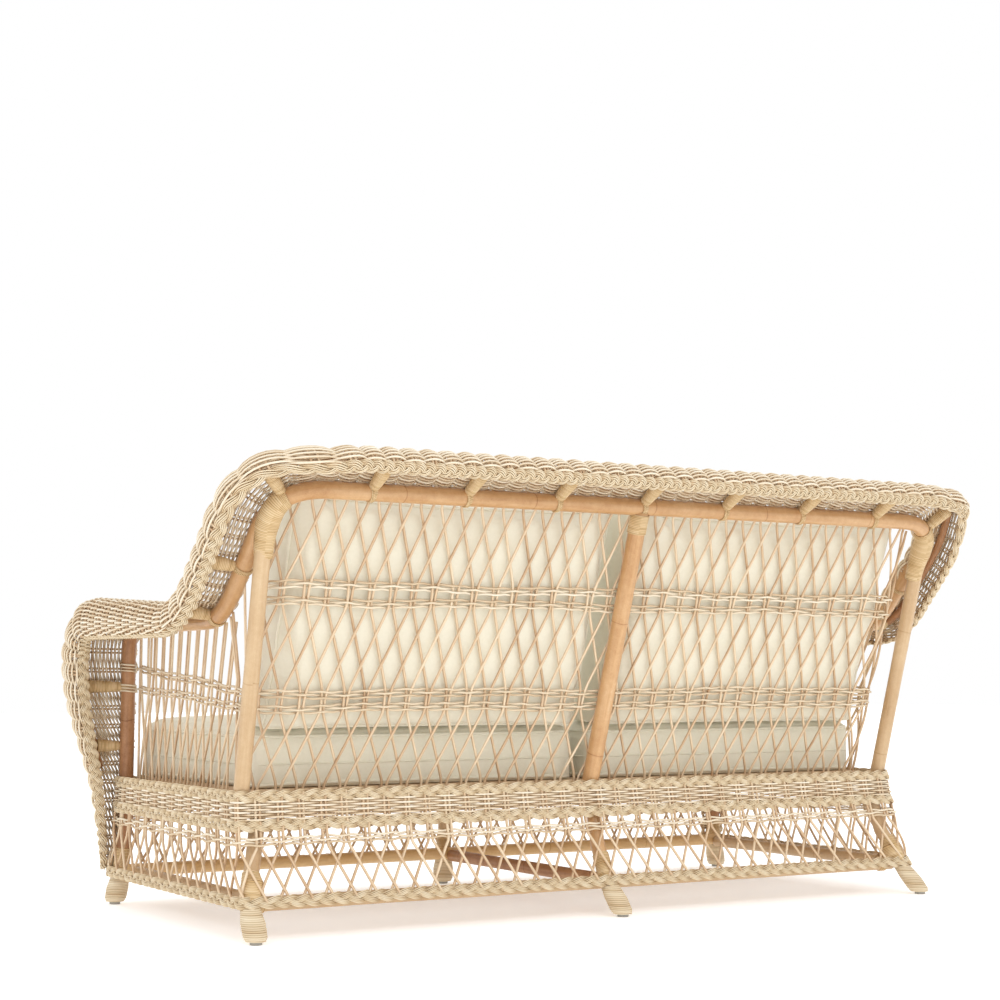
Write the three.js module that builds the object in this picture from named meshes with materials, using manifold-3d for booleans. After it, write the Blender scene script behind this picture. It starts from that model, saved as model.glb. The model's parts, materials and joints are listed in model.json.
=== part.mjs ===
// Rattan garden sofa: a bent pole frame, a woven rolled collar, open cane lattice and loose cushions.
// Units are millimetres, +Z is up, the front faces -Y. While the pieces are made, y = 0 is the line of
// the rear feet; at the end the whole sofa is centred over the origin with its glides on z = 0.
import * as THREE from 'three';
import { mergeVertices } from 'three/addons/utils/BufferGeometryUtils.js';
import Module from 'manifold-3d';

const wasm = await Module();
wasm.setup();

// Driving dimensions
const FIT = 0.3;                 // space kept between two pieces that touch
const GLIDE_HEIGHT = 4;
const GLIDE_RADIUS = 11;

// Poles
const HOOP_RADIUS = 16;
const POST_RADIUS = 14.5;
const CENTRE_POST_RADIUS = 16.5;
const LEG_RADIUS = 14;
const FRAME_RADIUS = 14;
const RAIL_RADIUS = 13;
const RIM_RADIUS = 8;
const POLE_SIDES = 10;
const SMALL_SIDES = 8;           // rim pole, brackets and glides

// Base band and skirt
const BAND_TOP = 262;
const BAND_HEIGHT = 80;
const BRAID_HEIGHT = 21;
const BAND_THICKNESS = 7;
const BRAID_PROUD = 2;
const END_FLARE = 14;
const REAR_FLARE = 56;
const FRONT_FLARE = 12;
const FLARE_POWER_share = 1.4;
const BASE_CORNER = 22;
const BOTTOM_BRAID_LOW = 63;
const BOTTOM_BRAID_HEIGHT = 22;
const BOTTOM_BRAID_THICKNESS = 8;
const ROW_HEIGHT = 17;
const SKIRT_ROW_DROP = 22;       // its lower edge below the band
const SKIRT_ROW_LOW = BAND_TOP - BAND_HEIGHT - SKIRT_ROW_DROP;
const SPOKE_WIDTH = 5.5;
const SPOKE_THICKNESS = 5;
const PITCH = 86;                // one pair of spokes to the next
const PAIR_GAP = 3;              // between the two spokes of a pair

// Back and arms: widths step in or out from the hoop, depths from the base
const HOOP_HALF_WIDTH = 761;
const HOOP_HEIGHT = 785;
const HOOP_CORNER = 98;
const BASE_OUT = 10;             // base beyond the ends of the hoop
const BASE_HALF_WIDTH = HOOP_HALF_WIDTH + BASE_OUT;
const BASE_DEPTH = 626;
const BASE_AHEAD = 30;           // flared rear edge of the base ahead of the rear feet
const BASE_REAR = -REAR_FLARE - BASE_AHEAD;
const BASE_FRONT = BASE_REAR - BASE_DEPTH;
const FOOT_IN = 1;
const FRONT_FOOT_BACK = 10;
const FOOT_SPREAD = 2 * (BASE_HALF_WIDTH - FOOT_IN);
const FOOT_ROWS = -BASE_FRONT - FRONT_FOOT_BACK;
const HOOP_RAKE = 146;           // hoop behind the base
const HOOP_BACK = BASE_REAR + HOOP_RAKE;
const ARM_HEIGHT = 564;
const ARM_REAR_IN = 61;
const ARM_FRONT_IN = 40;
const ARM_REAR = BASE_REAR - ARM_REAR_IN;
const ARM_FRONT = BASE_FRONT + ARM_FRONT_IN;
const ARM_OUT = 9;
const ARM_NARROWING = 13;
const ARM_HALF_WIDTH = HOOP_HALF_WIDTH + ARM_OUT;
const ARM_FRONT_HALF_WIDTH = HOOP_HALF_WIDTH - ARM_NARROWING;
const ARM_BEND = 75;
const FRONT_BEND = 60;
const POST_CLEARANCE = 1;        // posts to the inside of the band
const CENTRE_POST_CLEARANCE = 1.5;
const POST_BASE_BACK = BASE_REAR - BAND_THICKNESS - POST_RADIUS - POST_CLEARANCE;
const CENTRE_POST_BASE_BACK = BASE_REAR - BAND_THICKNESS - CENTRE_POST_RADIUS - CENTRE_POST_CLEARANCE;
const CORNER_POST_IN = 13;
const CORNER_POST_TOP_IN = 3;
const CORNER_POST_TOP_AHEAD = 46;
const CORNER_POST_TOP_DROP = 50;
const CORNER_POST_SINK = 72;     // its foot below the top of the band
const CORNER_POST_HALF_WIDTH = HOOP_HALF_WIDTH - CORNER_POST_IN;
const CORNER_POST_LOW = BAND_TOP - CORNER_POST_SINK;
const CORNER_POST_TOP_BACK = HOOP_BACK - CORNER_POST_TOP_AHEAD;
const CORNER_POST_TOP = HOOP_HEIGHT - CORNER_POST_TOP_DROP;
const CORNER_POST_TOP_HALF_WIDTH = HOOP_HALF_WIDTH - CORNER_POST_TOP_IN;
const SHELL_CORNER = 60;

// Seat
const SEAT_FRAME_IN = 42;
const SEAT_FRAME_REAR_IN = 48;
const SEAT_FRAME_FRONT_IN = 50;
const SEAT_FRAME_HALF_WIDTH = BASE_HALF_WIDTH - SEAT_FRAME_IN;
const SEAT_FRAME_REAR = BASE_REAR - SEAT_FRAME_REAR_IN;
const SEAT_FRAME_FRONT = BASE_FRONT + SEAT_FRAME_FRONT_IN;
const SEAT_FRAME_DROP = 24.3;    // pole centre below the top of the band
const DECK_THICKNESS = 11;
const DECK_CORNER = 80;
const SLAT_WIDTH = 70;
const SLAT_COUNT = 9;

// Cushions
const SEAT_CUSHION_OVERHANG = 10;
const SEAT_CUSHION_DEPTH = SEAT_FRAME_REAR - BASE_FRONT + SEAT_CUSHION_OVERHANG;
const SEAT_CUSHION_THICKNESS = 90;
const SEAT_CUSHION_CROWN = 28;
const BACK_CUSHION_HEIGHT = 412;
const BACK_CUSHION_THICKNESS = 128;
const BACK_CUSHION_CROWN = 22;
const BACK_CUSHION_IN = 29;
const BACK_CUSHION_HALF_SPAN = SEAT_FRAME_HALF_WIDTH - BACK_CUSHION_IN;
const CUSHION_SIDE_DRAW = 7;
const CUSHION_GAP = 3;
const CUSHION_EDGE = 10;
const BACK_CUSHION_BULGE = 30;     // its lower side swells down onto the seat
const CUSHION_CORNER = 18;       // each plan corner drawn in by this much

// Collar: the woven flange that rises outward from the hoop and rolls over a rim pole
const COLLAR_THICKNESS = 7;
const COLLAR_LIFT = 20;          // inner edge above the centre of the pole
const COLLAR_WIDTH_shares = [-0.09, 0.26, 0.52, 0.74, 0.91, 1, 0.975, 0.91];
const COLLAR_RISE_shares = [0, 0.62, 0.9, 1, 0.86];
const COLLAR_DROP_shares = [0.6, 0.9, 1];
const RIM_WIDTH_share = 0.66;
const RIM_BELOW_CREST = 16;
const RIM_END_HEIGHT = 275;

const COLOUR = {
  straw: 0xe2cfa6, hoop: 0xc99a6b, post: 0xe3c898, bark: 0xa9774b, wrap: 0xcbab74,
  cushion: 0xebe4d2, glide: 0x8d8a84,
};

const sofa = new THREE.Group();

function finish(colour, roughness) {
  return new THREE.MeshStandardMaterial({ color: colour, roughness, metalness: 0 });
}

const STRAW = finish(COLOUR.straw, 0.75);
const HOOP = finish(COLOUR.hoop, 0.4);
const POST = finish(COLOUR.post, 0.5);
const BARK = finish(COLOUR.bark, 0.5);
const WRAP = finish(COLOUR.wrap, 0.6);
const FABRIC = finish(COLOUR.cushion, 0.9);
const GLIDE = finish(COLOUR.glide, 0.6);

function place(name, geometry, material) {
  const mesh = new THREE.Mesh(geometry, material.clone());
  mesh.name = name;
  sofa.add(mesh);
  return mesh;
}

// Geometry helpers

function signedVolume(geometry) {
  const at = geometry.attributes.position;
  const a = new THREE.Vector3();
  const b = new THREE.Vector3();
  const c = new THREE.Vector3();
  let volume = 0;
  for (let i = 0; i < geometry.index.count; i += 3) {
    a.fromBufferAttribute(at, geometry.index.getX(i));
    b.fromBufferAttribute(at, geometry.index.getX(i + 1));
    c.fromBufferAttribute(at, geometry.index.getX(i + 2));
    volume += a.dot(b.cross(c));
  }
  return volume;
}

function facingOut(geometry) {
  if (signedVolume(geometry) < 0) {
    const index = Array.from(geometry.index.array).reverse();
    geometry.setIndex(index);
  }
  geometry.computeVertexNormals();
  return geometry;
}

function bareMesh(geometry) {
  geometry.deleteAttribute('normal');
  geometry.deleteAttribute('uv');
  return mergeVertices(geometry);
}

function meshFrom(points, faces) {
  const geometry = new THREE.BufferGeometry();
  const flat = points.flatMap((p) => [p.x, p.y, p.z]);
  geometry.setAttribute('position', new THREE.Float32BufferAttribute(flat, 3));
  geometry.setIndex(faces);
  return facingOut(geometry);
}

// Rings of equal length joined in order; an open loft is closed by a flat or folded cap at each end
function loft(rings, capFaces, closed = false) {
  const size = rings[0].length;
  const faces = [];
  const spans = closed ? rings.length : rings.length - 1;
  for (let r = 0; r < spans; r += 1) {
    const next = (r + 1) % rings.length;
    for (let i = 0; i < size; i += 1) {
      const j = (i + 1) % size;
      const a = r * size + i;
      const b = r * size + j;
      const c = next * size + j;
      const d = next * size + i;
      faces.push(a, b, c, a, c, d);
    }
  }
  if (!closed) {
    const last = (rings.length - 1) * size;
    for (const [i, j, k] of capFaces) {
      faces.push(k, j, i, last + i, last + j, last + k);
    }
  }
  return meshFrom(rings.flat(), faces);
}

function fanFaces(count) {
  return Array.from({ length: count - 2 }, (unused, i) => [0, i + 1, i + 2]);
}

function toSolid(geometry) {
  const mesh = new wasm.Mesh({
    numProp: 3,
    vertProperties: new Float32Array(geometry.attributes.position.array),
    triVerts: new Uint32Array(geometry.index.array),
  });
  return new wasm.Manifold(mesh);
}

function fromSolid(solid) {
  const mesh = solid.getMesh();
  const geometry = new THREE.BufferGeometry();
  geometry.setAttribute('position', new THREE.BufferAttribute(mesh.vertProperties, 3));
  geometry.setIndex(new THREE.BufferAttribute(mesh.triVerts, 1));
  geometry.computeVertexNormals();
  return geometry;
}

function cutAway(geometry, ...tools) {
  return fromSolid(tools.reduce((solid, tool) => solid.subtract(toSolid(tool)), toSolid(geometry)));
}

function vec(x, y, z) {
  return new THREE.Vector3(x, y, z);
}

// Round pole through a list of stations; ring planes halve each bend
function pole(stations, radius, sides = POLE_SIDES) {
  let side = null;
  const rings = stations.map((p, i) => {
    const before = stations[Math.max(i - 1, 0)];
    const after = stations[Math.min(i + 1, stations.length - 1)];
    const direction = after.clone().sub(before).normalize();
    if (!side) side = Math.abs(direction.z) > Math.SQRT1_2 ? vec(1, 0, 0) : vec(0, 0, 1);
    side = side.clone().addScaledVector(direction, -side.dot(direction)).normalize();
    const other = direction.clone().cross(side);
    const r = Array.isArray(radius) ? radius[i] : radius;
    return Array.from({ length: sides }, (unused, k) => {
      const turn = (k + 0.5) / sides * 2 * Math.PI;
      return p.clone().addScaledVector(side, Math.cos(turn) * r).addScaledVector(other, Math.sin(turn) * r);
    });
  });
  return loft(rings, fanFaces(sides));
}

// Corner of a bent pole: quadratic bend from one straight to the next
function bend(before, corner, after, cut, steps) {
  const start = corner.clone().add(before.clone().sub(corner).setLength(cut));
  const end = corner.clone().add(after.clone().sub(corner).setLength(cut));
  return new THREE.QuadraticBezierCurve3(start, corner, end).getPoints(steps);
}

function mirrored(points) {
  return points.map((p) => vec(-p.x, p.y, p.z));
}

// The path of the hoop, from the middle of the back to the left front corner, then down the front
const MIDDLE = vec(0, HOOP_BACK, HOOP_HEIGHT);
const BACK_CORNER = vec(HOOP_HALF_WIDTH, HOOP_BACK, HOOP_HEIGHT);
const ARM_CORNER = vec(ARM_HALF_WIDTH, ARM_REAR, ARM_HEIGHT);
const FRONT_CORNER = vec(ARM_FRONT_HALF_WIDTH, ARM_FRONT, ARM_HEIGHT);
const POST_INSET = BAND_THICKNESS + POST_RADIUS + 2 * FIT;
const POST_AT_BAND = vec(ARM_FRONT_HALF_WIDTH, BASE_FRONT + POST_INSET, BAND_TOP);
const SPLICE = 20;
const BEND_STEPS = 5;

const backBend = bend(MIDDLE, BACK_CORNER, ARM_CORNER, HOOP_CORNER, BEND_STEPS + 1);
const armBend = bend(BACK_CORNER, ARM_CORNER, FRONT_CORNER, ARM_BEND, BEND_STEPS);
const frontBend = bend(ARM_CORNER, FRONT_CORNER, POST_AT_BAND, FRONT_BEND, BEND_STEPS);

function makeHoop() {
  const joint = frontBend[0].clone().add(armBend.at(-1).clone().sub(frontBend[0]).setLength(SPLICE + FIT));
  const half = [...backBend, ...armBend, joint];
  return pole([...mirrored(half).reverse(), ...half], HOOP_RADIUS);
}

// Base outline: a rounded rectangle in plan that flares toward the floor
function flareAt(z) {
  const low = BOTTOM_BRAID_LOW;
  return Math.pow(Math.max((BAND_TOP - z) / (BAND_TOP - low), 0), FLARE_POWER_share);
}

const CORNER_STEPS = 4;

function roundedLoop(halfWidth, rear, front, radius) {
  const corners = [
    [1, rear - radius, 0], [-1, rear - radius, 1], [-1, front + radius, 2], [1, front + radius, 3],
  ];
  return corners.flatMap(([sx, cy, quarter]) => Array.from({ length: CORNER_STEPS + 1 }, (unused, i) => {
    const turn = (quarter + i / CORNER_STEPS) * Math.PI / 2;
    return [sx * (halfWidth - radius) + radius * Math.cos(turn), cy + radius * Math.sin(turn)];
  }));
}

function baseOutline(z, inset) {
  const f = flareAt(z);
  const halfWidth = BASE_HALF_WIDTH + END_FLARE * f - inset;
  const rear = BASE_REAR + REAR_FLARE * f - inset;
  const front = BASE_FRONT - FRONT_FLARE * f + inset;
  return roundedLoop(halfWidth, rear, front, BASE_CORNER - inset);
}

// Woven ring round the base from a section of [height, inset] pairs
function baseRing(section) {
  const loops = section.map(([z, inset]) => baseOutline(z, inset).map(([x, y]) => vec(x, y, z)));
  const rings = loops[0].map((unused, i) => loops.map((loop) => loop[i]));
  return loft(rings, [], true);
}

function makeWovenBand() {
  const low = BAND_TOP - BAND_HEIGHT;
  const round = BRAID_PROUD;
  return baseRing([
    [BAND_TOP, round], [BAND_TOP - round, 0], [BAND_TOP - BRAID_HEIGHT + round, 0],
    [BAND_TOP - BRAID_HEIGHT, round], [low + BRAID_HEIGHT, round], [low + BRAID_HEIGHT - round, 0],
    [low + round, 0], [low, round], [low, BAND_THICKNESS], [BAND_TOP, BAND_THICKNESS],
  ]);
}

function makeBottomBraid() {
  const top = BOTTOM_BRAID_LOW + BOTTOM_BRAID_HEIGHT;
  const round = BRAID_PROUD;
  return baseRing([
    [top, round], [top - round, 0], [BOTTOM_BRAID_LOW + round, 0], [BOTTOM_BRAID_LOW, round],
    [BOTTOM_BRAID_LOW, BOTTOM_BRAID_THICKNESS], [top, BOTTOM_BRAID_THICKNESS],
  ]);
}

// Lattice: a sheet with holes in (u, v), bent into place by a map from (u, v, w). Holes that reach
// the border are cut short there.
const BORDER = SPOKE_WIDTH;
const SMALLEST_HOLE = 200;        // area
const SNAP = 50;                 // corners closer than one part in this many of a millimetre are one

function turned(polygon, positive) {
  const area = THREE.ShapeUtils.area(polygon.map(([u, v]) => new THREE.Vector2(u, v)));
  return area > 0 === positive ? polygon : polygon.slice().reverse();
}

function openSheet(outline, holes) {
  const whole = new wasm.CrossSection([turned(outline, true)]);
  const inner = whole.offset(-BORDER, 'Miter', 2);
  const open = new wasm.CrossSection(holes.map((hole) => turned(hole, true)), 'NonZero').intersect(inner);
  const area = (polygon) => THREE.ShapeUtils.area(polygon.map(([u, v]) => new THREE.Vector2(u, v)));
  const large = open.toPolygons().filter((polygon) => area(polygon) > SMALLEST_HOLE);
  return whole.subtract(new wasm.CrossSection(large));
}

// seams: the u positions where the sheet bends, so that no face runs across a bend
function sheetFaces(sheet, seams) {
  const { min: [left, low], max: [right, high] } = sheet.bounds();
  const ends = [left, ...seams, right];
  const ids = new Map();
  const points = [];
  const idOf = ([u, v]) => {
    const key = `${Math.round(u * SNAP)} ${Math.round(v * SNAP)}`;
    if (!ids.has(key)) {
      ids.set(key, points.length);
      points.push([u, v]);
    }
    return ids.get(key);
  };
  const faces = ends.slice(1).flatMap((end, i) => {
    const strip = new wasm.CrossSection([[ends[i], low], [end, low], [end, high], [ends[i], high]]);
    const polygons = seams.length ? sheet.intersect(strip).toPolygons() : sheet.toPolygons();
    const corners = polygons.flat().map(idOf);
    return wasm.triangulate(polygons).map((face) => Array.from(face, (k) => corners[k]));
  });
  return { points, faces };
}

function net(outline, holes, thickness, map, seams = []) {
  const { points, faces } = sheetFaces(openSheet(outline, holes), seams);
  const count = points.length;
  const edges = new Map();
  for (const [i, j, k] of faces) {
    for (const [a, b] of [[i, j], [j, k], [k, i]]) {
      if (!edges.delete(`${b} ${a}`)) edges.set(`${a} ${b}`, [a, b]);
    }
  }
  const walls = [...edges.values()].flatMap(([a, b]) => [[a, b, b + count], [a, b + count, a + count]]);
  const backs = faces.map(([i, j, k]) => [k, j, i]);
  const fronts = faces.map((face) => face.map((i) => i + count));
  const sides = [-thickness / 2, thickness / 2];
  const corners = sides.flatMap((w) => points.map(([u, v]) => map(u, v, w)));
  return meshFrom(corners, [backs, fronts, walls].flat(2));
}

// A hole drawn in by half a spoke on each side, so that its outline follows the spokes' edges
function shrink(polygon, margin) {
  const area = THREE.ShapeUtils.area(polygon.map(([u, v]) => new THREE.Vector2(u, v)));
  const turn = area > 0 ? 1 : -1;
  const lines = polygon.map(([u, v], i) => {
    const [u2, v2] = polygon[(i + 1) % polygon.length];
    const length = Math.hypot(u2 - u, v2 - v);
    const nu = -(v2 - v) / length * turn;
    const nv = (u2 - u) / length * turn;
    return { u: u + nu * margin, v: v + nv * margin, du: (u2 - u) / length, dv: (v2 - v) / length };
  });
  return lines.map((line, i) => {
    const before = lines[(i + lines.length - 1) % lines.length];
    const cross = before.du * line.dv - before.dv * line.du;
    const t = ((line.u - before.u) * line.dv - (line.v - before.v) * line.du) / cross;
    return [before.u + before.du * t, before.v + before.dv * t];
  });
}

// Crossing spokes between two rows: each spoke moves one and a half pitches, so it crosses two others.
// offset places the upper pairs; the lower pairs stand half a pitch along.
function crossingHoles(low, high, centres, pitch) {
  const half = (PAIR_GAP + SPOKE_WIDTH) / 2;
  const travel = 1.5 * pitch - 2 * half;
  const first = (pitch - 2 * half) / (2 * travel);
  const second = (2 * pitch - 2 * half) / (2 * travel);
  const at = (share) => high + (low - high) * share;
  return centres.flatMap((u) => [
    [[u + half, high], [u + pitch - half, high], [u + pitch / 2, at(first)]],
    [
      [u + half, high], [u + pitch / 2, at(first)], [u, at(second)], [u - pitch / 2, at(first)],
      [u - half, high],
    ],
    [[u + pitch / 2, at(first)], [u + pitch, at(second)], [u + pitch / 2 + half, low],
      [u + pitch / 2 - half, low], [u, at(second)]],
    [[u - pitch / 2 + half, low], [u + pitch / 2 - half, low], [u, at(second)]],
  ]);
}

function straightHoles(low, high, centres, pitch) {
  const half = (PAIR_GAP + SPOKE_WIDTH) / 2;
  return centres.map((u) => [
    [u + half, low], [u + pitch - half, low], [u + pitch - half, high], [u + half, high],
  ]);
}

// Shell: the woven inner wall of back and sides. It stands on the seat frame, leans with the centre
// post, turns round the rear corners and runs forward to the front posts.
const FRAME_HEIGHT = BAND_TOP - SEAT_FRAME_DROP;
const SHELL_LOW = FRAME_HEIGHT + FRAME_RADIUS + FIT;
const LEAN_share = (HOOP_BACK - CENTRE_POST_BASE_BACK) / (HOOP_HEIGHT - BAND_TOP);
const SHELL_STRAIGHT = SEAT_FRAME_HALF_WIDTH - SHELL_CORNER;
const SHELL_ARC = SHELL_CORNER * Math.PI / 2;
const SHELL_END = SHELL_STRAIGHT + SHELL_ARC;

function shellBack(z) {
  const forward = (CENTRE_POST_RADIUS + SPOKE_THICKNESS / 2 + FIT) * Math.hypot(1, LEAN_share);
  return CENTRE_POST_BASE_BACK - forward + LEAN_share * (z - BAND_TOP);
}

function shellPoint(u, z, w) {
  const reach = Math.abs(u);
  const side = Math.sign(u) || 1;
  if (reach <= SHELL_STRAIGHT) return vec(u, shellBack(z) + w, z);
  const turn = Math.min((reach - SHELL_STRAIGHT) / SHELL_CORNER, Math.PI / 2);
  const r = SHELL_CORNER + w;
  const x = side * (SHELL_STRAIGHT + r * Math.sin(turn));
  return vec(x, shellBack(z) - SHELL_CORNER + r * Math.cos(turn), z);
}

function frontEdge(z) {
  const share = (z - SHELL_LOW) / (ARM_HEIGHT - SHELL_LOW);
  return THREE.MathUtils.lerp(POST_AT_BAND.y, ARM_FRONT, share) + POST_RADIUS;
}

const SIDE_LENGTH = shellBack(SHELL_LOW) - SHELL_CORNER - frontEdge(SHELL_LOW);

function sidePoint(u, z, w) {
  const y = THREE.MathUtils.lerp(shellBack(z) - SHELL_CORNER, frontEdge(z), u / SIDE_LENGTH);
  return vec(SEAT_FRAME_HALF_WIDTH + w, y, z);
}

function drawnIn(holes) {
  return holes.map((hole) => shrink(hole, SPOKE_WIDTH / 2));
}

const UPPER_ROW_DROP = 161;
const UPPER_ROW_GAP = 28;
const LOWER_ROW_RISE = 144;
const LOWER_ROW_GAP = 26;
const NET_ABOVE_HOOP = 5;
const UPPER_ROWS = [HOOP_HEIGHT - UPPER_ROW_DROP - UPPER_ROW_GAP, HOOP_HEIGHT - UPPER_ROW_DROP];
const LOWER_ROWS = [BAND_TOP + LOWER_ROW_RISE, BAND_TOP + LOWER_ROW_RISE + LOWER_ROW_GAP];
const NET_TOP = HOOP_HEIGHT + NET_ABOVE_HOOP;
const CORNER_TOP_shares = [[0.33, 0.97], [0.66, 0.82]];

function rowEdges([low, high]) {
  return { low: low - ROW_HEIGHT / 2, midLow: low + ROW_HEIGHT / 2, midHigh: high - ROW_HEIGHT / 2,
    high: high + ROW_HEIGHT / 2 };
}

const SIDE_TOP_RISE = 57;         // its rear corner above the arm
const SIDE_TOP_REAR = ARM_HEIGHT + SIDE_TOP_RISE;

function makeBackLattice() {
  const end = SHELL_END;
  const rise = NET_TOP - SIDE_TOP_REAR;
  const slope = CORNER_TOP_shares.map(([along, up]) => [SHELL_STRAIGHT + SHELL_ARC * along,
    SIDE_TOP_REAR + rise * up]);
  const bends = [SHELL_STRAIGHT, ...slope.map(([u]) => u)];
  const outline = [
    [-end, SHELL_LOW], [end, SHELL_LOW], [end, SIDE_TOP_REAR], ...slope.slice().reverse(),
    [SHELL_STRAIGHT, NET_TOP],
    [-SHELL_STRAIGHT, NET_TOP], ...slope.map(([u, v]) => [-u, v]), [-end, SIDE_TOP_REAR],
  ];
  const lower = rowEdges(LOWER_ROWS);
  const upper = rowEdges(UPPER_ROWS);
  const count = Math.ceil(end / PITCH) + 1;
  const centres = Array.from({ length: 2 * count + 1 }, (unused, i) => (i - count) * PITCH);
  const between = centres.map((u) => u + PITCH / 2);
  const holes = [
    ...crossingHoles(SHELL_LOW + SPOKE_WIDTH / 2, lower.low, between, PITCH),
    ...straightHoles(lower.midLow, lower.midHigh, between, PITCH),
    ...crossingHoles(lower.high, upper.low, centres, PITCH),
    ...straightHoles(upper.midLow, upper.midHigh, centres, PITCH),
    ...crossingHoles(upper.high, NET_TOP - SPOKE_WIDTH / 2, between, PITCH),
  ];
  const folds = [...bends.map((u) => -u).reverse(), ...bends];
  return net(outline, drawnIn(holes), SPOKE_THICKNESS, shellPoint, folds);
}

const SIDE_ROW_RISE = 38;
const ARM_NET_GAP = 2;
const ARM_NET_TOP = ARM_HEIGHT - HOOP_RADIUS - ARM_NET_GAP;
const SLOPE_REACH = 38;

function makeSideLattice() {
  const outline = [[FIT, SHELL_LOW], [SIDE_LENGTH, SHELL_LOW], [SIDE_LENGTH, ARM_NET_TOP],
    [SLOPE_REACH, ARM_NET_TOP], [FIT, SIDE_TOP_REAR]];
  const lower = rowEdges(LOWER_ROWS);
  const rowGap = LOWER_ROWS[1] - LOWER_ROWS[0];
  const count = Math.floor(SIDE_LENGTH / PITCH);
  const centres = Array.from({ length: count + 2 }, (unused, i) => (i - 0.5) * SIDE_LENGTH / count);
  const holes = [
    ...crossingHoles(SHELL_LOW + SPOKE_WIDTH / 2, lower.low, centres, SIDE_LENGTH / count),
    ...straightHoles(lower.midLow, lower.midHigh, centres, SIDE_LENGTH / count),
    ...straightHoles(lower.high + rowGap / 2, ARM_NET_TOP - SPOKE_WIDTH / 2, centres, SIDE_LENGTH / count),
  ];
  const lift = (u, v) => {
    const share = Math.max(0, 1 - Math.abs(v - LOWER_ROWS[1]) / (ARM_NET_TOP - LOWER_ROWS[1]));
    return v + SIDE_ROW_RISE * u / SIDE_LENGTH * share;
  };
  return net(outline, drawnIn(holes), SPOKE_THICKNESS, (u, v, w) => sidePoint(u, lift(u, v), w));
}

// Skirt lattice under the band, one panel a side, with a single row near its top
const SKIRT_LOW = BOTTOM_BRAID_LOW + BOTTOM_BRAID_HEIGHT + FIT;
const SKIRT_TOP = BAND_TOP - BAND_HEIGHT - FIT;

function skirtHoles(length) {
  const count = Math.max(Math.round(length / PITCH), 2);
  const pitch = length / count;
  const centres = Array.from({ length: count + 2 }, (unused, i) => -length / 2 + (i - 0.5) * pitch);
  const rowHigh = SKIRT_ROW_LOW + ROW_HEIGHT;
  return [
    ...crossingHoles(SKIRT_LOW + SPOKE_WIDTH / 2, SKIRT_ROW_LOW, centres, pitch),
  ].concat(SKIRT_TOP - rowHigh > SPOKE_WIDTH * 2 ? straightHoles(rowHigh, SKIRT_TOP, centres, pitch) : []);
}

function makeSkirt(length, map) {
  const end = length / 2;
  const outline = [[-end, SKIRT_LOW], [end, SKIRT_LOW], [end, SKIRT_TOP], [-end, SKIRT_TOP]];
  return net(outline, drawnIn(skirtHoles(length)), SPOKE_THICKNESS, map);
}

const SKIRT_INSET = BRAID_PROUD + SPOKE_THICKNESS / 2;
const REAR_SKIRT_LENGTH = 2 * (BASE_HALF_WIDTH - BASE_CORNER);
const SIDE_SKIRT_LENGTH = BASE_REAR - BASE_FRONT - 2 * BASE_CORNER;

function flareY(z, face, flare) {
  return face + flare * flareAt(z);
}

function rearSkirtPoint(u, z, w) {
  return vec(u, flareY(z, BASE_REAR, REAR_FLARE) - SKIRT_INSET + w, z);
}

function frontSkirtPoint(u, z, w) {
  return vec(u, flareY(z, BASE_FRONT, -FRONT_FLARE) + SKIRT_INSET - w, z);
}

function sideSkirtPoint(u, z, w) {
  const middle = (BASE_REAR + BASE_FRONT) / 2;
  return vec(BASE_HALF_WIDTH + END_FLARE * flareAt(z) - SKIRT_INSET + w, middle + u, z);
}

// Collar path stations: place, direction, width, crest and rolled edge of the section
const COLLAR_BACK = { width: 115, crest: 63, edge: 27 };
const COLLAR_CORNER = { width: 96, crest: 46, edge: 8 };
const COLLAR_SLOPE = { width: 95, crest: 28, edge: -22 };
const COLLAR_ARM_REAR = { width: 102, crest: 28, edge: -24 };
const COLLAR_ARM_FRONT = { width: 118, crest: 50, edge: -22 };
const WING_LOW_RISE = 5;         // foot of the wing above the lower edge of the bottom braid
const WING_LOW = BOTTOM_BRAID_LOW + WING_LOW_RISE;
const WING_RISE_shares = [1, 0.653, 0.219, 0];
const WING_FALL_shares = [0.474, 1];
const WING_WIDTHS = [140, 129, 93, 73, 48, 29];
const WING_CRESTS = [46, 42, 33, 27, 20, 13];
const WING_EDGES = [-20, -18, -10, -6, -2, 4];
const WING_HEIGHTS = [
  ...WING_RISE_shares.map((share) => THREE.MathUtils.lerp(BAND_TOP, frontBend.at(-1).z, share)),
  ...WING_FALL_shares.map((share) => THREE.MathUtils.lerp(BAND_TOP, WING_LOW, share))];
const WING = WING_WIDTHS.map((width, i) => (
  { z: WING_HEIGHTS[i], width, crest: WING_CRESTS[i], edge: WING_EDGES[i] }
));
const WING_BAND_IN = 12;
const WING_FOOT_IN = 4;
const WING_BAND_BACK = BASE_FRONT + WING_BAND_IN;
const WING_FOOT_BACK = BASE_FRONT;
const WING_FOOT_HALF_WIDTH = HOOP_HALF_WIDTH - WING_FOOT_IN;

function mixSection(a, b, share) {
  const mix = (key) => THREE.MathUtils.lerp(a[key], b[key], share);
  return { width: mix('width'), crest: mix('crest'), edge: mix('edge') };
}

function wingPlace(z) {
  if (z > BAND_TOP) {
    const share = (z - BAND_TOP) / (frontBend.at(-1).z - BAND_TOP);
    return vec(ARM_FRONT_HALF_WIDTH, THREE.MathUtils.lerp(WING_BAND_BACK, frontBend.at(-1).y, share), z);
  }
  const share = (BAND_TOP - z) / (BAND_TOP - WING_LOW);
  return vec(THREE.MathUtils.lerp(ARM_FRONT_HALF_WIDTH, WING_FOOT_HALF_WIDTH, share),
    THREE.MathUtils.lerp(WING_BAND_BACK, WING_FOOT_BACK, share), z);
}

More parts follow.
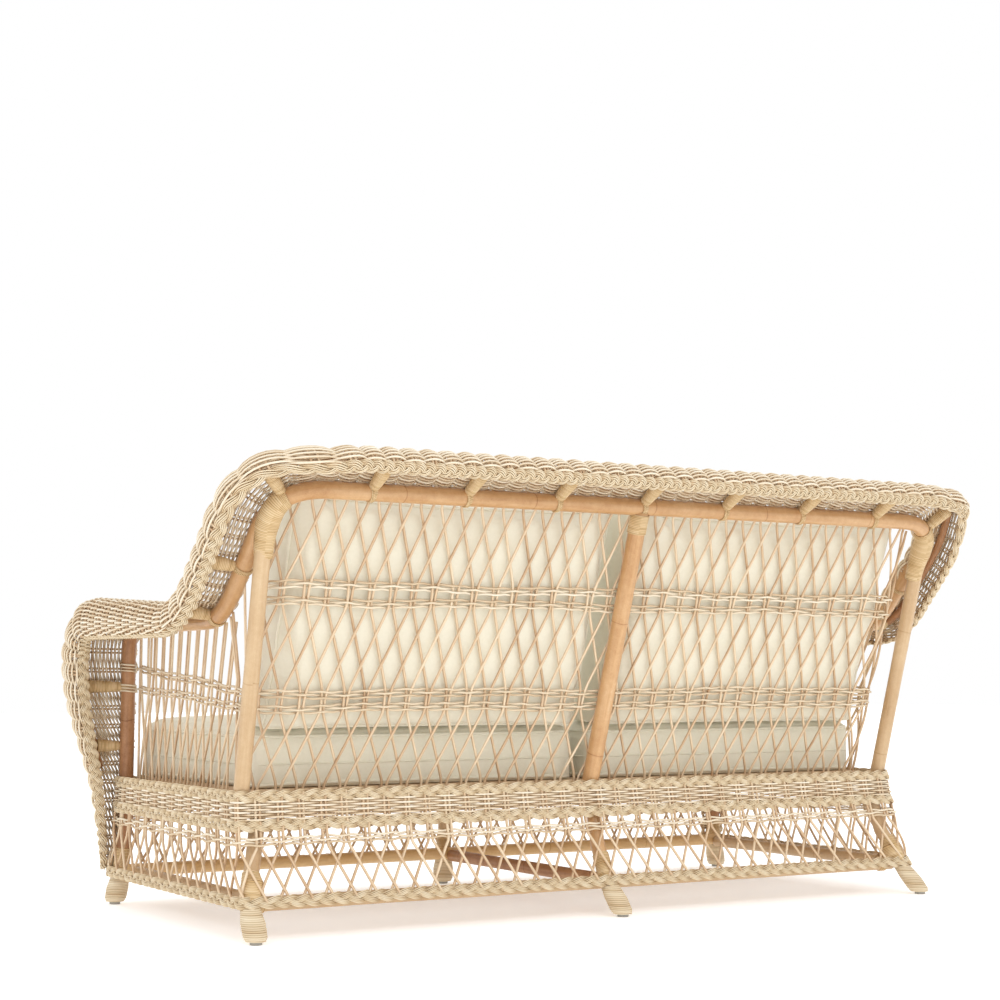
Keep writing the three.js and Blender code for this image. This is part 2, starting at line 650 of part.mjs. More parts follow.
function collarStations() {
  const spread = (points, from, to) => points.map((p, i) => (
    { p, ...mixSection(from, to, i / (points.length - 1)) }
  ));
  const middle = backBend.length / 2 + 0.5;
  const slopeMid = backBend.at(-1).clone().lerp(armBend[0], 0.5);
  const armMid = armBend.at(-1).clone().lerp(frontBend[0], 0.5);
  const stations = [
    { p: MIDDLE.clone(), ...COLLAR_BACK },
    ...spread(backBend.slice(0, middle), COLLAR_BACK, COLLAR_CORNER),
    ...spread(backBend.slice(middle - 1), COLLAR_CORNER, COLLAR_SLOPE).slice(1),
    { p: slopeMid, ...COLLAR_SLOPE },
    ...spread(armBend, COLLAR_SLOPE, COLLAR_ARM_REAR),
    { p: armMid, ...mixSection(COLLAR_ARM_REAR, COLLAR_ARM_FRONT, 0.5) },
    ...spread(frontBend, COLLAR_ARM_FRONT, WING[0]),
    ...WING.slice(1).map((w) => ({ ...w, p: wingPlace(w.z) })),
  ];
  const outward = (p) => {
    const share = THREE.MathUtils.clamp((p.x - backBend[0].x) / (backBend.at(-1).x - backBend[0].x), 0, 1);
    return vec(share, 1 - share, 0).normalize();
  };
  return stations.map((station, i) => {
    const before = stations[Math.max(i - 1, 0)].p;
    const after = stations[Math.min(i + 1, stations.length - 1)].p;
    const t = i === 0 ? vec(1, 0, 0) : after.clone().sub(before).normalize();
    const n = outward(station.p);
    n.addScaledVector(t, -n.dot(t)).normalize();
    return { ...station, n, u: t.clone().cross(n) };
  });
}

const COLLAR = collarStations();

function onCollar(station, along, up) {
  return station.p.clone().addScaledVector(station.n, along).addScaledVector(station.u, up);
}

function collarMidline({ width, crest, edge }) {
  const [lift, ...rise] = COLLAR_RISE_shares;
  const top = rise[rise.length - 1] * crest;
  const ups = [COLLAR_LIFT + lift, ...rise.map((share) => share * crest),
    ...COLLAR_DROP_shares.map((share) => THREE.MathUtils.lerp(top, edge, share))];
  return COLLAR_WIDTH_shares.map((share, i) => (
    [share * width, Math.max(ups[i], i < 3 ? COLLAR_LIFT : -Infinity)]
  ));
}

// Closed outline of the collar's wall, its two faces half a thickness either side of the midline
function collarSection(station) {
  const line = collarMidline(station);
  const half = COLLAR_THICKNESS / 2;
  const offset = line.map(([a, b], i) => {
    const [a0, b0] = line[Math.max(i - 1, 0)];
    const [a1, b1] = line[Math.min(i + 1, line.length - 1)];
    const length = Math.hypot(a1 - a0, b1 - b0);
    return [-(b1 - b0) / length * half, (a1 - a0) / length * half, a, b];
  });
  const outer = offset.map(([da, db, a, b]) => [a + da, b + db]);
  const inner = offset.map(([da, db, a, b]) => [a - da, b - db]).reverse();
  return [...outer, ...inner];
}

// Cap triangles of the section: a strip between its outer and inner line, the way round of the ring
function collarCaps(section) {
  const last = section.length - 1;
  return Array.from({ length: section.length / 2 - 1 }, (unused, i) => [
    [i, i + 1, last - i], [i + 1, last - i - 1, last - i],
  ]).flat();
}

function makeCollar() {
  const half = COLLAR.map((station) => collarSection(station).map(([a, b]) => onCollar(station, a, b)));
  const other = half.slice(1).reverse().map(mirrored);
  return loft([...other, ...half], collarCaps(collarSection(COLLAR.at(-1))));
}

function rimCentre(station) {
  return onCollar(station, station.width * RIM_WIDTH_share, station.crest - RIM_BELOW_CREST);
}

function makeRimPole() {
  const half = COLLAR.filter(({ p }) => p.z > RIM_END_HEIGHT).map(rimCentre);
  return pole([...mirrored(half.slice(1)).reverse(), ...half], RIM_RADIUS, SMALL_SIDES);
}

// Brackets: wrapped stubs from the pole out to the rim pole
const BRACKET_RADIUS = 10.5;
const BRACKET_NECK_RADIUS = 8;
const BRACKET_SPACE = 0.6;
const BEND_BRACKET_SPACE = 2.4;  // more room where the rim pole bends away
const CORNER_BRACKET_STATION_COUNT = 4;
const ARM_BRACKET_STATION_COUNT = 12;
const SLOPE_BRACKET_share = 0.398;
const WING_BRACKET_HIGH_share = 0.7355;
const WING_BRACKET_LOW_share = 0.248;
const SLOPE_BRACKET_HEIGHT = THREE.MathUtils.lerp(ARM_HEIGHT, HOOP_HEIGHT, SLOPE_BRACKET_share);
const WING_BRACKET_HIGH = THREE.MathUtils.lerp(BAND_TOP, frontBend.at(-1).z, WING_BRACKET_HIGH_share);
const WING_BRACKET_LOW = THREE.MathUtils.lerp(BAND_TOP, frontBend.at(-1).z, WING_BRACKET_LOW_share);
const TOP_BRACKET_COUNT = 7;
const TOP_BRACKET_END_GAP = 182;  // last one to the end of the hoop
const TOP_BRACKET_SPACING = 2 * (HOOP_HALF_WIDTH - TOP_BRACKET_END_GAP) / (TOP_BRACKET_COUNT - 1);

function bracketAt(station, poleRadius, space = BRACKET_SPACE) {
  const from = station.p;
  const to = rimCentre(station);
  const length = from.distanceTo(to);
  const along = (distance) => from.clone().lerp(to, distance / length);
  const start = poleRadius + FIT;
  const end = length - RIM_RADIUS - space;
  return pole([along(start), along((start + end) / 2), along(end)],
    [BRACKET_NECK_RADIUS, BRACKET_RADIUS, BRACKET_RADIUS], SMALL_SIDES);
}

function stationAtHeight(z) {
  const i = COLLAR.findIndex(({ p }) => p.z < z);
  const [a, b] = [COLLAR[i - 1], COLLAR[i]];
  const share = (a.p.z - z) / (a.p.z - b.p.z);
  return { p: a.p.clone().lerp(b.p, share), n: a.n.clone().lerp(b.n, share).normalize(),
    u: a.u.clone().lerp(b.u, share).normalize(), ...mixSection(a, b, share) };
}

// Cushions: a crowned block whose sides draw in between its corners
const CUSHION_ACROSS = 10;
const CUSHION_ALONG = 8;
const SWELL_POWER_share = 0.4;

function swellAt(s, t, crown) {
  return crown * Math.pow(Math.max(16 * s * (1 - s) * t * (1 - t), 0), SWELL_POWER_share);
}

function cushion({ width, depth, thickness, crown, flatBase, bulge }) {
  const edge = (count, from, to) => Array.from({ length: count }, (unused, i) =>
    from.map((v, k) => v + (to[k] - v) * i / count));
  const corners = [[0, 0], [1, 0], [1, 1], [0, 1]];
  const outline = corners.flatMap((corner, i) =>
    edge(i % 2 ? CUSHION_ALONG : CUSHION_ACROSS, corner, corners[(i + 1) % corners.length]));
  const drawIn = (s) => 2 * CUSHION_SIDE_DRAW * 4 * s * (1 - s);
  const spread = (s, t, inset) => {
    const onSide = s === 0 || s === 1;
    const onEnd = t === 0 || t === 1;
    const tuck = onSide && onEnd ? 2 * CUSHION_CORNER : 0;
    const x = (s - 0.5) * (width - 2 * inset - (onSide ? drawIn(t) : 0) - tuck);
    const y = (t - 0.5) * (depth - 2 * inset - (onEnd ? drawIn(s) : 0) - tuck);
    return [x, y - (t === 0 && !inset ? bulge * Math.sqrt(4 * s * (1 - s)) : 0)];
  };
  const points = [];
  const add = (s, t, inset, z) => {
    const [x, y] = spread(s, t, inset);
    points.push(vec(x, y, z));
    return points.length - 1;
  };
  const rings = [[CUSHION_EDGE, 0], [0, thickness / 2], [CUSHION_EDGE, thickness]]
    .map(([inset, z]) => outline.map(([s, t]) => add(s, t, inset, z)));
  const faces = rings.slice(1).flatMap((ring, l) => ring.flatMap((unused, i) => {
    const j = (i + 1) % ring.length;
    return [rings[l][i], rings[l][j], ring[j], rings[l][i], ring[j], ring[i]];
  }));
  const keyOf = (s, t) => `${Math.round(s * CUSHION_ACROSS)} ${Math.round(t * CUSHION_ALONG)}`;
  for (const [ring, base, side] of [[rings[0], 0, flatBase ? 0 : -1], [rings[2], thickness, 1]]) {
    const border = new Map(outline.map(([s, t], i) => [keyOf(s, t), ring[i]]));
    const grid = Array.from({ length: CUSHION_ALONG + 1 }, (row, j) =>
      Array.from({ length: CUSHION_ACROSS + 1 }, (cell, i) => {
        const [s, t] = [i / CUSHION_ACROSS, j / CUSHION_ALONG];
        return border.get(keyOf(s, t)) ?? add(s, t, CUSHION_EDGE, base + side * swellAt(s, t, crown));
      }));
    for (let j = 0; j < CUSHION_ALONG; j += 1) {
      for (let i = 0; i < CUSHION_ACROSS; i += 1) {
        const [a, b, c, d] = [grid[j][i], grid[j][i + 1], grid[j + 1][i + 1], grid[j + 1][i]];
        faces.push(...(side === 1 ? [a, b, c, a, c, d] : [a, c, b, a, d, c]));
      }
    }
  }
  return meshFrom(points, faces);
}

// Seat deck: a slatted sheet that lies on the seat frame
function makeSeatDeck() {
  const reach = (SPOKE_THICKNESS + PAIR_GAP) / 2;
  const halfWidth = SEAT_FRAME_HALF_WIDTH - reach;
  const rear = SEAT_FRAME_REAR - reach;
  const front = SEAT_FRAME_FRONT + reach;
  const middle = (front + rear) / 2;
  const outline = roundedLoop(halfWidth, rear, front, DECK_CORNER);
  const span = 2 * (halfWidth - DECK_CORNER);
  const halfSlot = (span / SLAT_COUNT - SLAT_WIDTH) / 2;
  const rows = [[front + SLAT_WIDTH, middle - SLAT_WIDTH / 2], [middle + SLAT_WIDTH / 2, rear - SLAT_WIDTH]];
  const holes = Array.from({ length: SLAT_COUNT }, (unused, i) => ((i + 0.5) / SLAT_COUNT - 0.5) * span)
    .flatMap((x) => rows.map(([a, b]) => [[x - halfSlot, a], [x + halfSlot, a], [x + halfSlot, b],
      [x - halfSlot, b]]));
  const base = FRAME_HEIGHT + Math.sqrt(FRAME_RADIUS ** 2 - reach ** 2) + FIT;
  return net(outline, holes, DECK_THICKNESS, (x, y, w) => vec(x, y, base + DECK_THICKNESS / 2 + w));
}

// Legs and their wrapped feet, as [x, y, z, radius] stations
const LEG_SIDES = 10;
const FOOT_TOP = 54;
const FOOT_STEP = 4;             // the leg leaves the top of the wrap within this height
const FOOT_NECK_RADIUS = 19;
const FOOT_BELLY_RADIUS = 22.5;
const FOOT_LOW_RADIUS = 21.5;
const FOOT_TIP_RADIUS = 17;
const FOOT_HEIGHT_shares = [1, 0.64, 0.25];
const FOOT_LEAN_shares = [1, 0.5, 0.12];
const FOOT_RADII = [FOOT_NECK_RADIUS, FOOT_BELLY_RADIUS, FOOT_LOW_RADIUS];
const END_LEAN = 9;              // the end feet stand out from the tops of their wraps by this
const REAR_LEAN = 42;
const FRONT_LEAN = -3;
const SHIN_LEAN = 4;
const LEG_SEAT = 2.5;            // the middle legs are cut this deep to seat on the seat frame
const REAR_LEG_TOP_INSET = 55;
const REAR_LEG_WAIST_INSET = 32;
const REAR_LEG_WAIST_BACK = BASE_REAR;
const REAR_LEG_WAIST_HEIGHT = 130;
const FRONT_FOOT_INSET = 2;
const REAR_LEG_TOP_BACK = BASE_REAR - BAND_THICKNESS - 2 * FIT - LEG_RADIUS;
const FRONT_LEG_TOP_BACK = BASE_FRONT + BAND_THICKNESS + 2 * FIT + LEG_RADIUS;
const SHIN_TOP = BOTTOM_BRAID_LOW + BOTTOM_BRAID_HEIGHT;
const LEG_TOP = FRAME_HEIGHT - FIT;

function footStations(x, y, leanX, leanY) {
  return [...FOOT_RADII.map((r, i) => [x - leanX * FOOT_LEAN_shares[i], y - leanY * FOOT_LEAN_shares[i],
    FOOT_TOP * FOOT_HEIGHT_shares[i], r]), [x, y, GLIDE_HEIGHT + FIT, FOOT_TIP_RADIUS]];
}

function legSolid(stations, grow = 0) {
  const rings = stations.map(([x, y, z, r]) => Array.from({ length: LEG_SIDES }, (unused, i) => {
    const turn = (i + 0.5) / LEG_SIDES * 2 * Math.PI;
    return vec(x + (r + grow) * Math.cos(turn), y + (r + grow) * Math.sin(turn), z);
  }));
  return loft(rings, fanFaces(LEG_SIDES));
}

// side is 1 for the left end, 0 for the middle; the shin lies against the inside of the bottom braid
function rearLegStations(side, top, seat) {
  const x = side * FOOT_SPREAD / 2;
  const shin = (z) => flareY(z, BASE_REAR, REAR_FLARE) - BOTTOM_BRAID_THICKNESS - LEG_RADIUS - FIT;
  return [
    [x - side * REAR_LEG_TOP_INSET, REAR_LEG_TOP_BACK - seat, top, LEG_RADIUS],
    [x - side * REAR_LEG_WAIST_INSET, REAR_LEG_WAIST_BACK, REAR_LEG_WAIST_HEIGHT, LEG_RADIUS],
    [x - side * (END_LEAN + SHIN_LEAN), shin(SHIN_TOP), SHIN_TOP, LEG_RADIUS],
    [x - side * END_LEAN, shin(BOTTOM_BRAID_LOW), FOOT_TOP + FOOT_STEP, LEG_RADIUS],
    ...footStations(x, 0, END_LEAN * side, REAR_LEAN),
  ];
}

const FRONT_LEG_STATIONS = [
  [0, FRONT_LEG_TOP_BACK + LEG_SEAT, LEG_TOP, LEG_RADIUS],
  [0, -FOOT_ROWS - FRONT_LEAN, FOOT_TOP + FOOT_STEP, LEG_RADIUS],
  ...footStations(0, -FOOT_ROWS, 0, FRONT_LEAN),
];

// The front post is one pole from the splice with the hoop down to its wrapped foot
function frontPost(grow = 0) {
  const x = FOOT_SPREAD / 2 - FRONT_FOOT_INSET;
  const toe = -FOOT_ROWS - 2 * FRONT_LEAN;
  const splice = frontBend[0].clone().add(armBend.at(-1).clone().sub(frontBend[0]).setLength(SPLICE));
  const bandLow = vec(POST_AT_BAND.x, POST_AT_BAND.y, BAND_TOP - BAND_HEIGHT);
  const shaft = [splice, ...frontBend, POST_AT_BAND, bandLow];
  const shin = [vec(x - END_LEAN - SHIN_LEAN, toe, SHIN_TOP), vec(x - END_LEAN, toe, FOOT_TOP + FOOT_STEP)];
  const foot = footStations(x, -FOOT_ROWS, END_LEAN, FRONT_LEAN);
  const stations = [...shaft, ...shin, ...foot.map(([fx, fy, fz]) => vec(fx, fy, fz))];
  const radii = [...shaft.map(() => POST_RADIUS), ...shin.map(() => LEG_RADIUS), ...foot.map((f) => f[3])];
  stations.at(-1).z = 0;
  const whole = toSolid(pole(stations, radii.map((r) => r + grow), LEG_SIDES));
  return fromSolid(whole.trimByPlane([0, 0, 1], GLIDE_HEIGHT + FIT));
}

function makeGlide(x, y) {
  const disc = new THREE.CylinderGeometry(GLIDE_RADIUS, GLIDE_RADIUS, GLIDE_HEIGHT, SMALL_SIDES);
  disc.rotateX(Math.PI / 2);
  disc.translate(x, y, GLIDE_HEIGHT / 2);
  return facingOut(bareMesh(disc));
}

function loopPole(points, radius) {
  const rings = points.map((p, i) => {
    const before = points[(i + points.length - 1) % points.length];
    const after = points[(i + 1) % points.length];
    const out = after.clone().sub(before).normalize().cross(vec(0, 0, 1));
    return Array.from({ length: POLE_SIDES }, (unused, k) => {
      const turn = (k + 0.5) / POLE_SIDES * 2 * Math.PI;
      return p.clone().addScaledVector(out, Math.cos(turn) * radius).add(vec(0, 0, Math.sin(turn) * radius));
    });
  });
  return loft(rings, [], true);
}

function otherSide(geometry) {
  const other = geometry.clone();
  other.scale(-1, 1, 1);
  return facingOut(other);
}

function pair(name, geometry, material) {
  place(`${name}_left`, geometry, material);
  place(`${name}_right`, otherSide(geometry), material);
}

// Frame
const hoopClearance = pole([...mirrored([...backBend, ...armBend]).reverse(), ...backBend, ...armBend],
  HOOP_RADIUS / Math.cos(Math.PI / POLE_SIDES) + FIT);
const seatLoop = roundedLoop(SEAT_FRAME_HALF_WIDTH, SEAT_FRAME_REAR, SEAT_FRAME_FRONT, SHELL_CORNER)
  .map(([x, y]) => vec(x, y, FRAME_HEIGHT));
const frameClearance = loopPole(seatLoop, FRAME_RADIUS + FIT);
place('back_hoop', makeHoop(), HOOP);
place('seat_frame', loopPole(seatLoop, FRAME_RADIUS), POST);
place('seat_deck', makeSeatDeck(), POST);

const centreFoot = vec(0, CENTRE_POST_BASE_BACK - LEAN_share * SEAT_FRAME_DROP, FRAME_HEIGHT);
const centreTop = MIDDLE.clone().add(centreFoot.clone().sub(MIDDLE).setLength(HOOP_RADIUS / 3));
const centrePole = pole([centreFoot, centreTop], CENTRE_POST_RADIUS);
place('centre_post', cutAway(centrePole, hoopClearance, frameClearance), HOOP);

const cornerLean = (CORNER_POST_TOP_BACK - POST_BASE_BACK) / (CORNER_POST_TOP - BAND_TOP);
const cornerFoot = vec(CORNER_POST_HALF_WIDTH, POST_BASE_BACK - cornerLean * (BAND_TOP - CORNER_POST_LOW),
  CORNER_POST_LOW);
const cornerTop = vec(CORNER_POST_TOP_HALF_WIDTH, CORNER_POST_TOP_BACK, CORNER_POST_TOP);
pair('corner_post', cutAway(pole([cornerFoot, cornerTop], POST_RADIUS), hoopClearance), POST);
pair('front_post', frontPost(), BARK);

const rearLeg = rearLegStations(1, LEG_TOP, 0);
const rearMiddleLeg = rearLegStations(0, LEG_TOP - CENTRE_POST_RADIUS / 2, LEG_SEAT);
pair('rear_leg', legSolid(rearLeg), POST);
place('rear_leg_centre', cutAway(legSolid(rearMiddleLeg), frameClearance), POST);
place('front_leg_centre', cutAway(legSolid(FRONT_LEG_STATIONS), frameClearance), POST);
const FEET = [['rear_left', 1, 0], ['rear_centre', 0, 0], ['rear_right', -1, 0],
  ['front_left', 1, 1], ['front_centre', 0, 1], ['front_right', -1, 1]];
for (const [name, side, row] of FEET) {
  const x = side * (FOOT_SPREAD / 2 - FRONT_FOOT_INSET * row);
  place(`glide_${name}`, makeGlide(x, -FOOT_ROWS * row), GLIDE);
}

// Low rails inside the skirt, notched round the legs that they are nailed to
const RAIL_HEIGHT = 68;
const RAIL_NOTCH = 2;
const railOffset = LEG_RADIUS + RAIL_RADIUS - RAIL_NOTCH;
const endX = FOOT_SPREAD / 2 - END_LEAN;
const rearRailY = rearLeg[3][1] - railOffset;
const frontRailY = FRONT_LEG_STATIONS[1][1] + railOffset;
const sideRailX = endX - railOffset;
const legTools = [legSolid(rearLeg, FIT), legSolid(rearMiddleLeg, FIT), legSolid(FRONT_LEG_STATIONS, FIT),
  frontPost(FIT)].flatMap((tool) => [tool, otherSide(tool)]);
const crossRail = (y) => cutAway(pole([vec(-endX, y, RAIL_HEIGHT), vec(endX, y, RAIL_HEIGHT)], RAIL_RADIUS),
  ...legTools);
const lengthRail = (x) => pole([vec(x, rearRailY - RAIL_RADIUS - FIT, RAIL_HEIGHT),
  vec(x, frontRailY + RAIL_RADIUS + FIT, RAIL_HEIGHT)], RAIL_RADIUS);
place('bottom_rail_rear', crossRail(rearRailY), HOOP);
place('bottom_rail_front', crossRail(frontRailY), HOOP);
pair('bottom_rail', lengthRail(sideRailX), HOOP);
place('middle_stretcher', lengthRail(0), HOOP);

// Collar, rim pole and brackets
place('woven_collar', makeCollar(), STRAW);
place('rim_pole', makeRimPole(), BARK);
for (let i = 0; i < TOP_BRACKET_COUNT; i += 1) {
  const x = (i - (TOP_BRACKET_COUNT - 1) / 2) * TOP_BRACKET_SPACING;
  const station = { ...COLLAR[0], p: vec(x, HOOP_BACK, HOOP_HEIGHT) };
  place(`top_bracket_${i + 1}`, bracketAt(station, HOOP_RADIUS), WRAP);
}
const cornerStation = COLLAR[CORNER_BRACKET_STATION_COUNT];
pair('corner_bracket', bracketAt(cornerStation, HOOP_RADIUS, BEND_BRACKET_SPACE), WRAP);
pair('slope_bracket', bracketAt(stationAtHeight(SLOPE_BRACKET_HEIGHT), HOOP_RADIUS), WRAP);
pair('arm_bracket', bracketAt(COLLAR[ARM_BRACKET_STATION_COUNT], HOOP_RADIUS), WRAP);
for (const [level, height] of [['upper', WING_BRACKET_HIGH], ['lower', WING_BRACKET_LOW]]) {
  const bracket = bracketAt(stationAtHeight(height), POST_RADIUS, BEND_BRACKET_SPACE);
  pair(`wing_bracket_${level}`, bracket, WRAP);
}

// Woven work
place('woven_band', makeWovenBand(), STRAW);
place('bottom_braid', makeBottomBraid(), STRAW);
place('back_lattice', makeBackLattice(), STRAW);
pair('side_lattice', makeSideLattice(), STRAW);
place('skirt_lattice_rear', makeSkirt(REAR_SKIRT_LENGTH, rearSkirtPoint), STRAW);
place('skirt_lattice_front', makeSkirt(REAR_SKIRT_LENGTH, frontSkirtPoint), STRAW);
pair('skirt_lattice', makeSkirt(SIDE_SKIRT_LENGTH, sideSkirtPoint), STRAW);

// Loose cushions: the seat cushions lie on the deck, the back cushions stand on them and lean back
const deckTop = FRAME_HEIGHT + FRAME_RADIUS + DECK_THICKNESS + FIT;
const seatWidth = SEAT_FRAME_HALF_WIDTH - SPOKE_THICKNESS / 2 - 2 * CUSHION_GAP;
const seatMiddle = vec((CUSHION_GAP + seatWidth) / 2,
  SEAT_FRAME_REAR - SPOKE_THICKNESS / 2 - CUSHION_GAP - SEAT_CUSHION_DEPTH / 2, deckTop);
const seat = cushion({ width: seatWidth, depth: SEAT_CUSHION_DEPTH, thickness: SEAT_CUSHION_THICKNESS,
  crown: SEAT_CUSHION_CROWN, flatBase: true, bulge: 0 });
seat.translate(seatMiddle.x, seatMiddle.y, seatMiddle.z);
pair('seat_cushion', seat, FABRIC);

function seatTopAt(x, y) {
  const s = (x - seatMiddle.x) / (seatWidth - 2 * CUSHION_EDGE) + 0.5;
  const t = (y - seatMiddle.y) / (SEAT_CUSHION_DEPTH - 2 * CUSHION_EDGE) + 0.5;
  const clamp = (share) => THREE.MathUtils.clamp(share, 0, 1);
  return seatMiddle.z + SEAT_CUSHION_THICKNESS + swellAt(clamp(s), clamp(t), SEAT_CUSHION_CROWN);
}

const backWidth = BACK_CUSHION_HALF_SPAN - CUSHION_GAP;
const back = cushion({ width: backWidth, depth: BACK_CUSHION_HEIGHT, thickness: BACK_CUSHION_THICKNESS,
  crown: BACK_CUSHION_CROWN, flatBase: false, bulge: BACK_CUSHION_BULGE });
back.rotateX(Math.PI / 2 - Math.atan(LEAN_share));
back.translate((CUSHION_GAP + backWidth) / 2, 0, deckTop + SEAT_CUSHION_THICKNESS + BACK_CUSHION_HEIGHT / 2);
const corner = vec(0, 0, 0);
function mostOf(geometry, measure) {
  const at = geometry.attributes.position;
  const values = Array.from({ length: at.count }, (unused, i) => measure(corner.fromBufferAttribute(at, i)));
  return Math.max(...values);
}
for (let round = 0; round < 3; round += 1) {
  back.translate(0, -FIT - SPOKE_THICKNESS / 2 - mostOf(back, (p) => p.y - shellBack(p.z)), 0);
  back.translate(0, 0, FIT + mostOf(back, (p) => seatTopAt(p.x, p.y) - p.z));
}
pair('back_cushion', back, FABRIC);

// The origin is the middle of the sofa's footprint box, on the floor
const box = new THREE.Box3().setFromObject(sofa);
sofa.position.set(-(box.min.x + box.max.x) / 2, -(box.min.y + box.max.y) / 2, -box.min.z);

export default sofa;
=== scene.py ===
import json
import math

import bpy
import numpy as np
from mathutils import Matrix, Vector
from mathutils.bvhtree import BVHTree

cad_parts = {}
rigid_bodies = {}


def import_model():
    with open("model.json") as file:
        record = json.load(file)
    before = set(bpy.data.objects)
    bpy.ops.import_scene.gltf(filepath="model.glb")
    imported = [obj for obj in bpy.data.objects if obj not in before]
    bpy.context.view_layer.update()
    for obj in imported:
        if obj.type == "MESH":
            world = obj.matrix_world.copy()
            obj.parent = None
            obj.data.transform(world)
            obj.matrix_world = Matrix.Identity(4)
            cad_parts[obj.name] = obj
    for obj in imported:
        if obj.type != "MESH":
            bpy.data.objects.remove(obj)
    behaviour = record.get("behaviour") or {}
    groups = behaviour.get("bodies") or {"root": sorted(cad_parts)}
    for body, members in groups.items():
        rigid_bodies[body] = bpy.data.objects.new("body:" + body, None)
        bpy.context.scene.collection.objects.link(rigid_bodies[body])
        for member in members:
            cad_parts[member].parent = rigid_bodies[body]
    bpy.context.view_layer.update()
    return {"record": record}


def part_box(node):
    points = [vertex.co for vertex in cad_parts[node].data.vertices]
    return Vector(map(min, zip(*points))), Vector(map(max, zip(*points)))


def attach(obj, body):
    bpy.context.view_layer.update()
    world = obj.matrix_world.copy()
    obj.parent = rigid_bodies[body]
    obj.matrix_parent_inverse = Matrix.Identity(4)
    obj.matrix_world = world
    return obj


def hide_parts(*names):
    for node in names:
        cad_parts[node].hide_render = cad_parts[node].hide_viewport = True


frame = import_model()
# Nothing that was loaded stays selected, so that no operator changes it
for loaded in bpy.data.objects:
    loaded.select_set(False)
chance = np.random.default_rng(11)

# Sizes of the sofa in millimetres; y = 0 is the line of the rear feet
MM = 0.001
PITCH = 43.0             # from one pair of spokes to the next
PAIR = 4.0               # half the room between the two spokes of a pair
SPOKE, WEAVER = 2.6, 2.3
COLLAR_PITCH = 38.0
HOOP, POST, CENTRE, LEG, RAIL, RIM = 16.0, 14.5, 16.5, 14.0, 13.0, 8.0
HOOP_TOP, HOOP_BACK, HOOP_HALF_WIDTH = 785.0, 60.0, 761.0
ARM_LINE, ARM_TOP = 564.0, 562.0
FRONT_X, FRONT_Y = 748.0, -689.9          # front post where it meets the band
BAND_LINE, BAND_TOP, BAND_LOW, BRAID = 262.0, 261.0, 188.0, 22.0
BOTTOM_LOW, BOTTOM_TOP = 56.5, 78.5
POST_FOOT = -111.0       # centre post where it meets the band
HALF_WIDTH, BASE_REAR, BASE_FRONT, BASE_CORNER = 771.0, -86.0, -712.0, 22.0
END_FLARE, REAR_FLARE, FRONT_FLARE, FLARE_REACH, FLARE_POWER = 14.0, 56.0, 12.0, 199.0, 1.4
RING_LINE, RING_REAR, RING_FRONT = 237.7, -134.0, -662.0
SHELL_HALF, SHELL_CORNER, SHELL_LOW = 729.0, 60.0, 250.0
ROWS_LOW, ROWS_HIGH, ROW_STEP = (406.0, 432.0), (596.0, 624.0), 5.8
ROWS_RISE = (33.0, 48.0)                  # how far the low rows climb along the sides
FRONT_FEET = -702.0
SEAT_SIZE, BACK_SIZE = (708, 576, 109), (712, 470, 122)
SEAT_REST, BACK_REST = 47.0, 79.5         # from a cushion's middle to what it rests against
BACK_LIFT, SEAT_TOP = 4.0, 371.0
LOW_PART = 450.0         # above this the back cushions are clear of the seat
JOINT_LENGTH = 270.0     # from one joint of a thick cane to the next

glide_low, glide_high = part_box("glide_rear_left")
REAR_FEET = (glide_low.y + glide_high.y) / 2


def placed(points):
    return np.asarray(points, float) * MM + (0, REAR_FEET, 0)


def unit(v):
    v = np.asarray(v, float)
    return v / np.maximum(np.linalg.norm(v, axis=-1, keepdims=True), 1e-9)


def mix(a, b, share):
    return a + (b - a) * share


def mirrored(points):
    return np.asarray(points, float) * (-1, 1, 1)


def both_ways(half):
    return np.vstack([mirrored(half)[::-1], half[1:]])


def bend(before, corner, after, length, steps=14):
    start = corner + unit(before - corner) * length
    end = corner + unit(after - corner) * length
    t = np.linspace(0, 1, steps + 1)[:, None]
    return (1 - t) ** 2 * start + 2 * t * (1 - t) * corner + t ** 2 * end


def distances(path):
    return np.concatenate([[0], np.cumsum(np.linalg.norm(np.diff(path, axis=0), axis=1))])


def resampled(path, step):
    path = np.asarray(path, float)
    along = distances(path)
    at = np.linspace(0, along[-1], max(int(along[-1] / step), 2) + 1)
    return np.stack([np.interp(at, along, path[:, k]) for k in range(3)], 1)


# Camera and light
EYE, EYE_TURN = (2.144, 3.3446, 0.463), 149.2
LENS, SENSOR, LENS_SHIFT = 69.7, 36, (0.018, 0.1765)


def add_camera():
    """Level, behind the sofa and to the sitter's left, as the photograph was taken."""
    bpy.ops.object.camera_add(location=EYE, rotation=(math.pi / 2, 0, math.radians(EYE_TURN)))
    camera = bpy.context.object
    camera.name = "camera"
    camera.data.lens, camera.data.sensor_width = LENS, SENSOR
    camera.data.shift_x, camera.data.shift_y = LENS_SHIFT
    bpy.context.scene.camera = camera


def add_softbox(name, place, aim, size, power):
    bpy.ops.object.light_add(type="AREA", location=place)
    light = bpy.context.object
    light.name = name
    light.data.size, light.data.energy = size, power
    light.rotation_euler = (Vector(aim) - Vector(place)).to_track_quat("-Z", "Y").to_euler()


# Materials: shared effects are node groups, each placed with its own values
def new_node(tree, kind, inputs=(), **settings):
    made = tree.nodes.new("ShaderNode" + kind)
    for key, value in settings.items():
        setattr(made, key, value)
    for key, value in dict(inputs).items():
        if isinstance(value, bpy.types.NodeSocket):
            tree.links.new(value, made.inputs[key])
        else:
            made.inputs[key].default_value = value
    return made


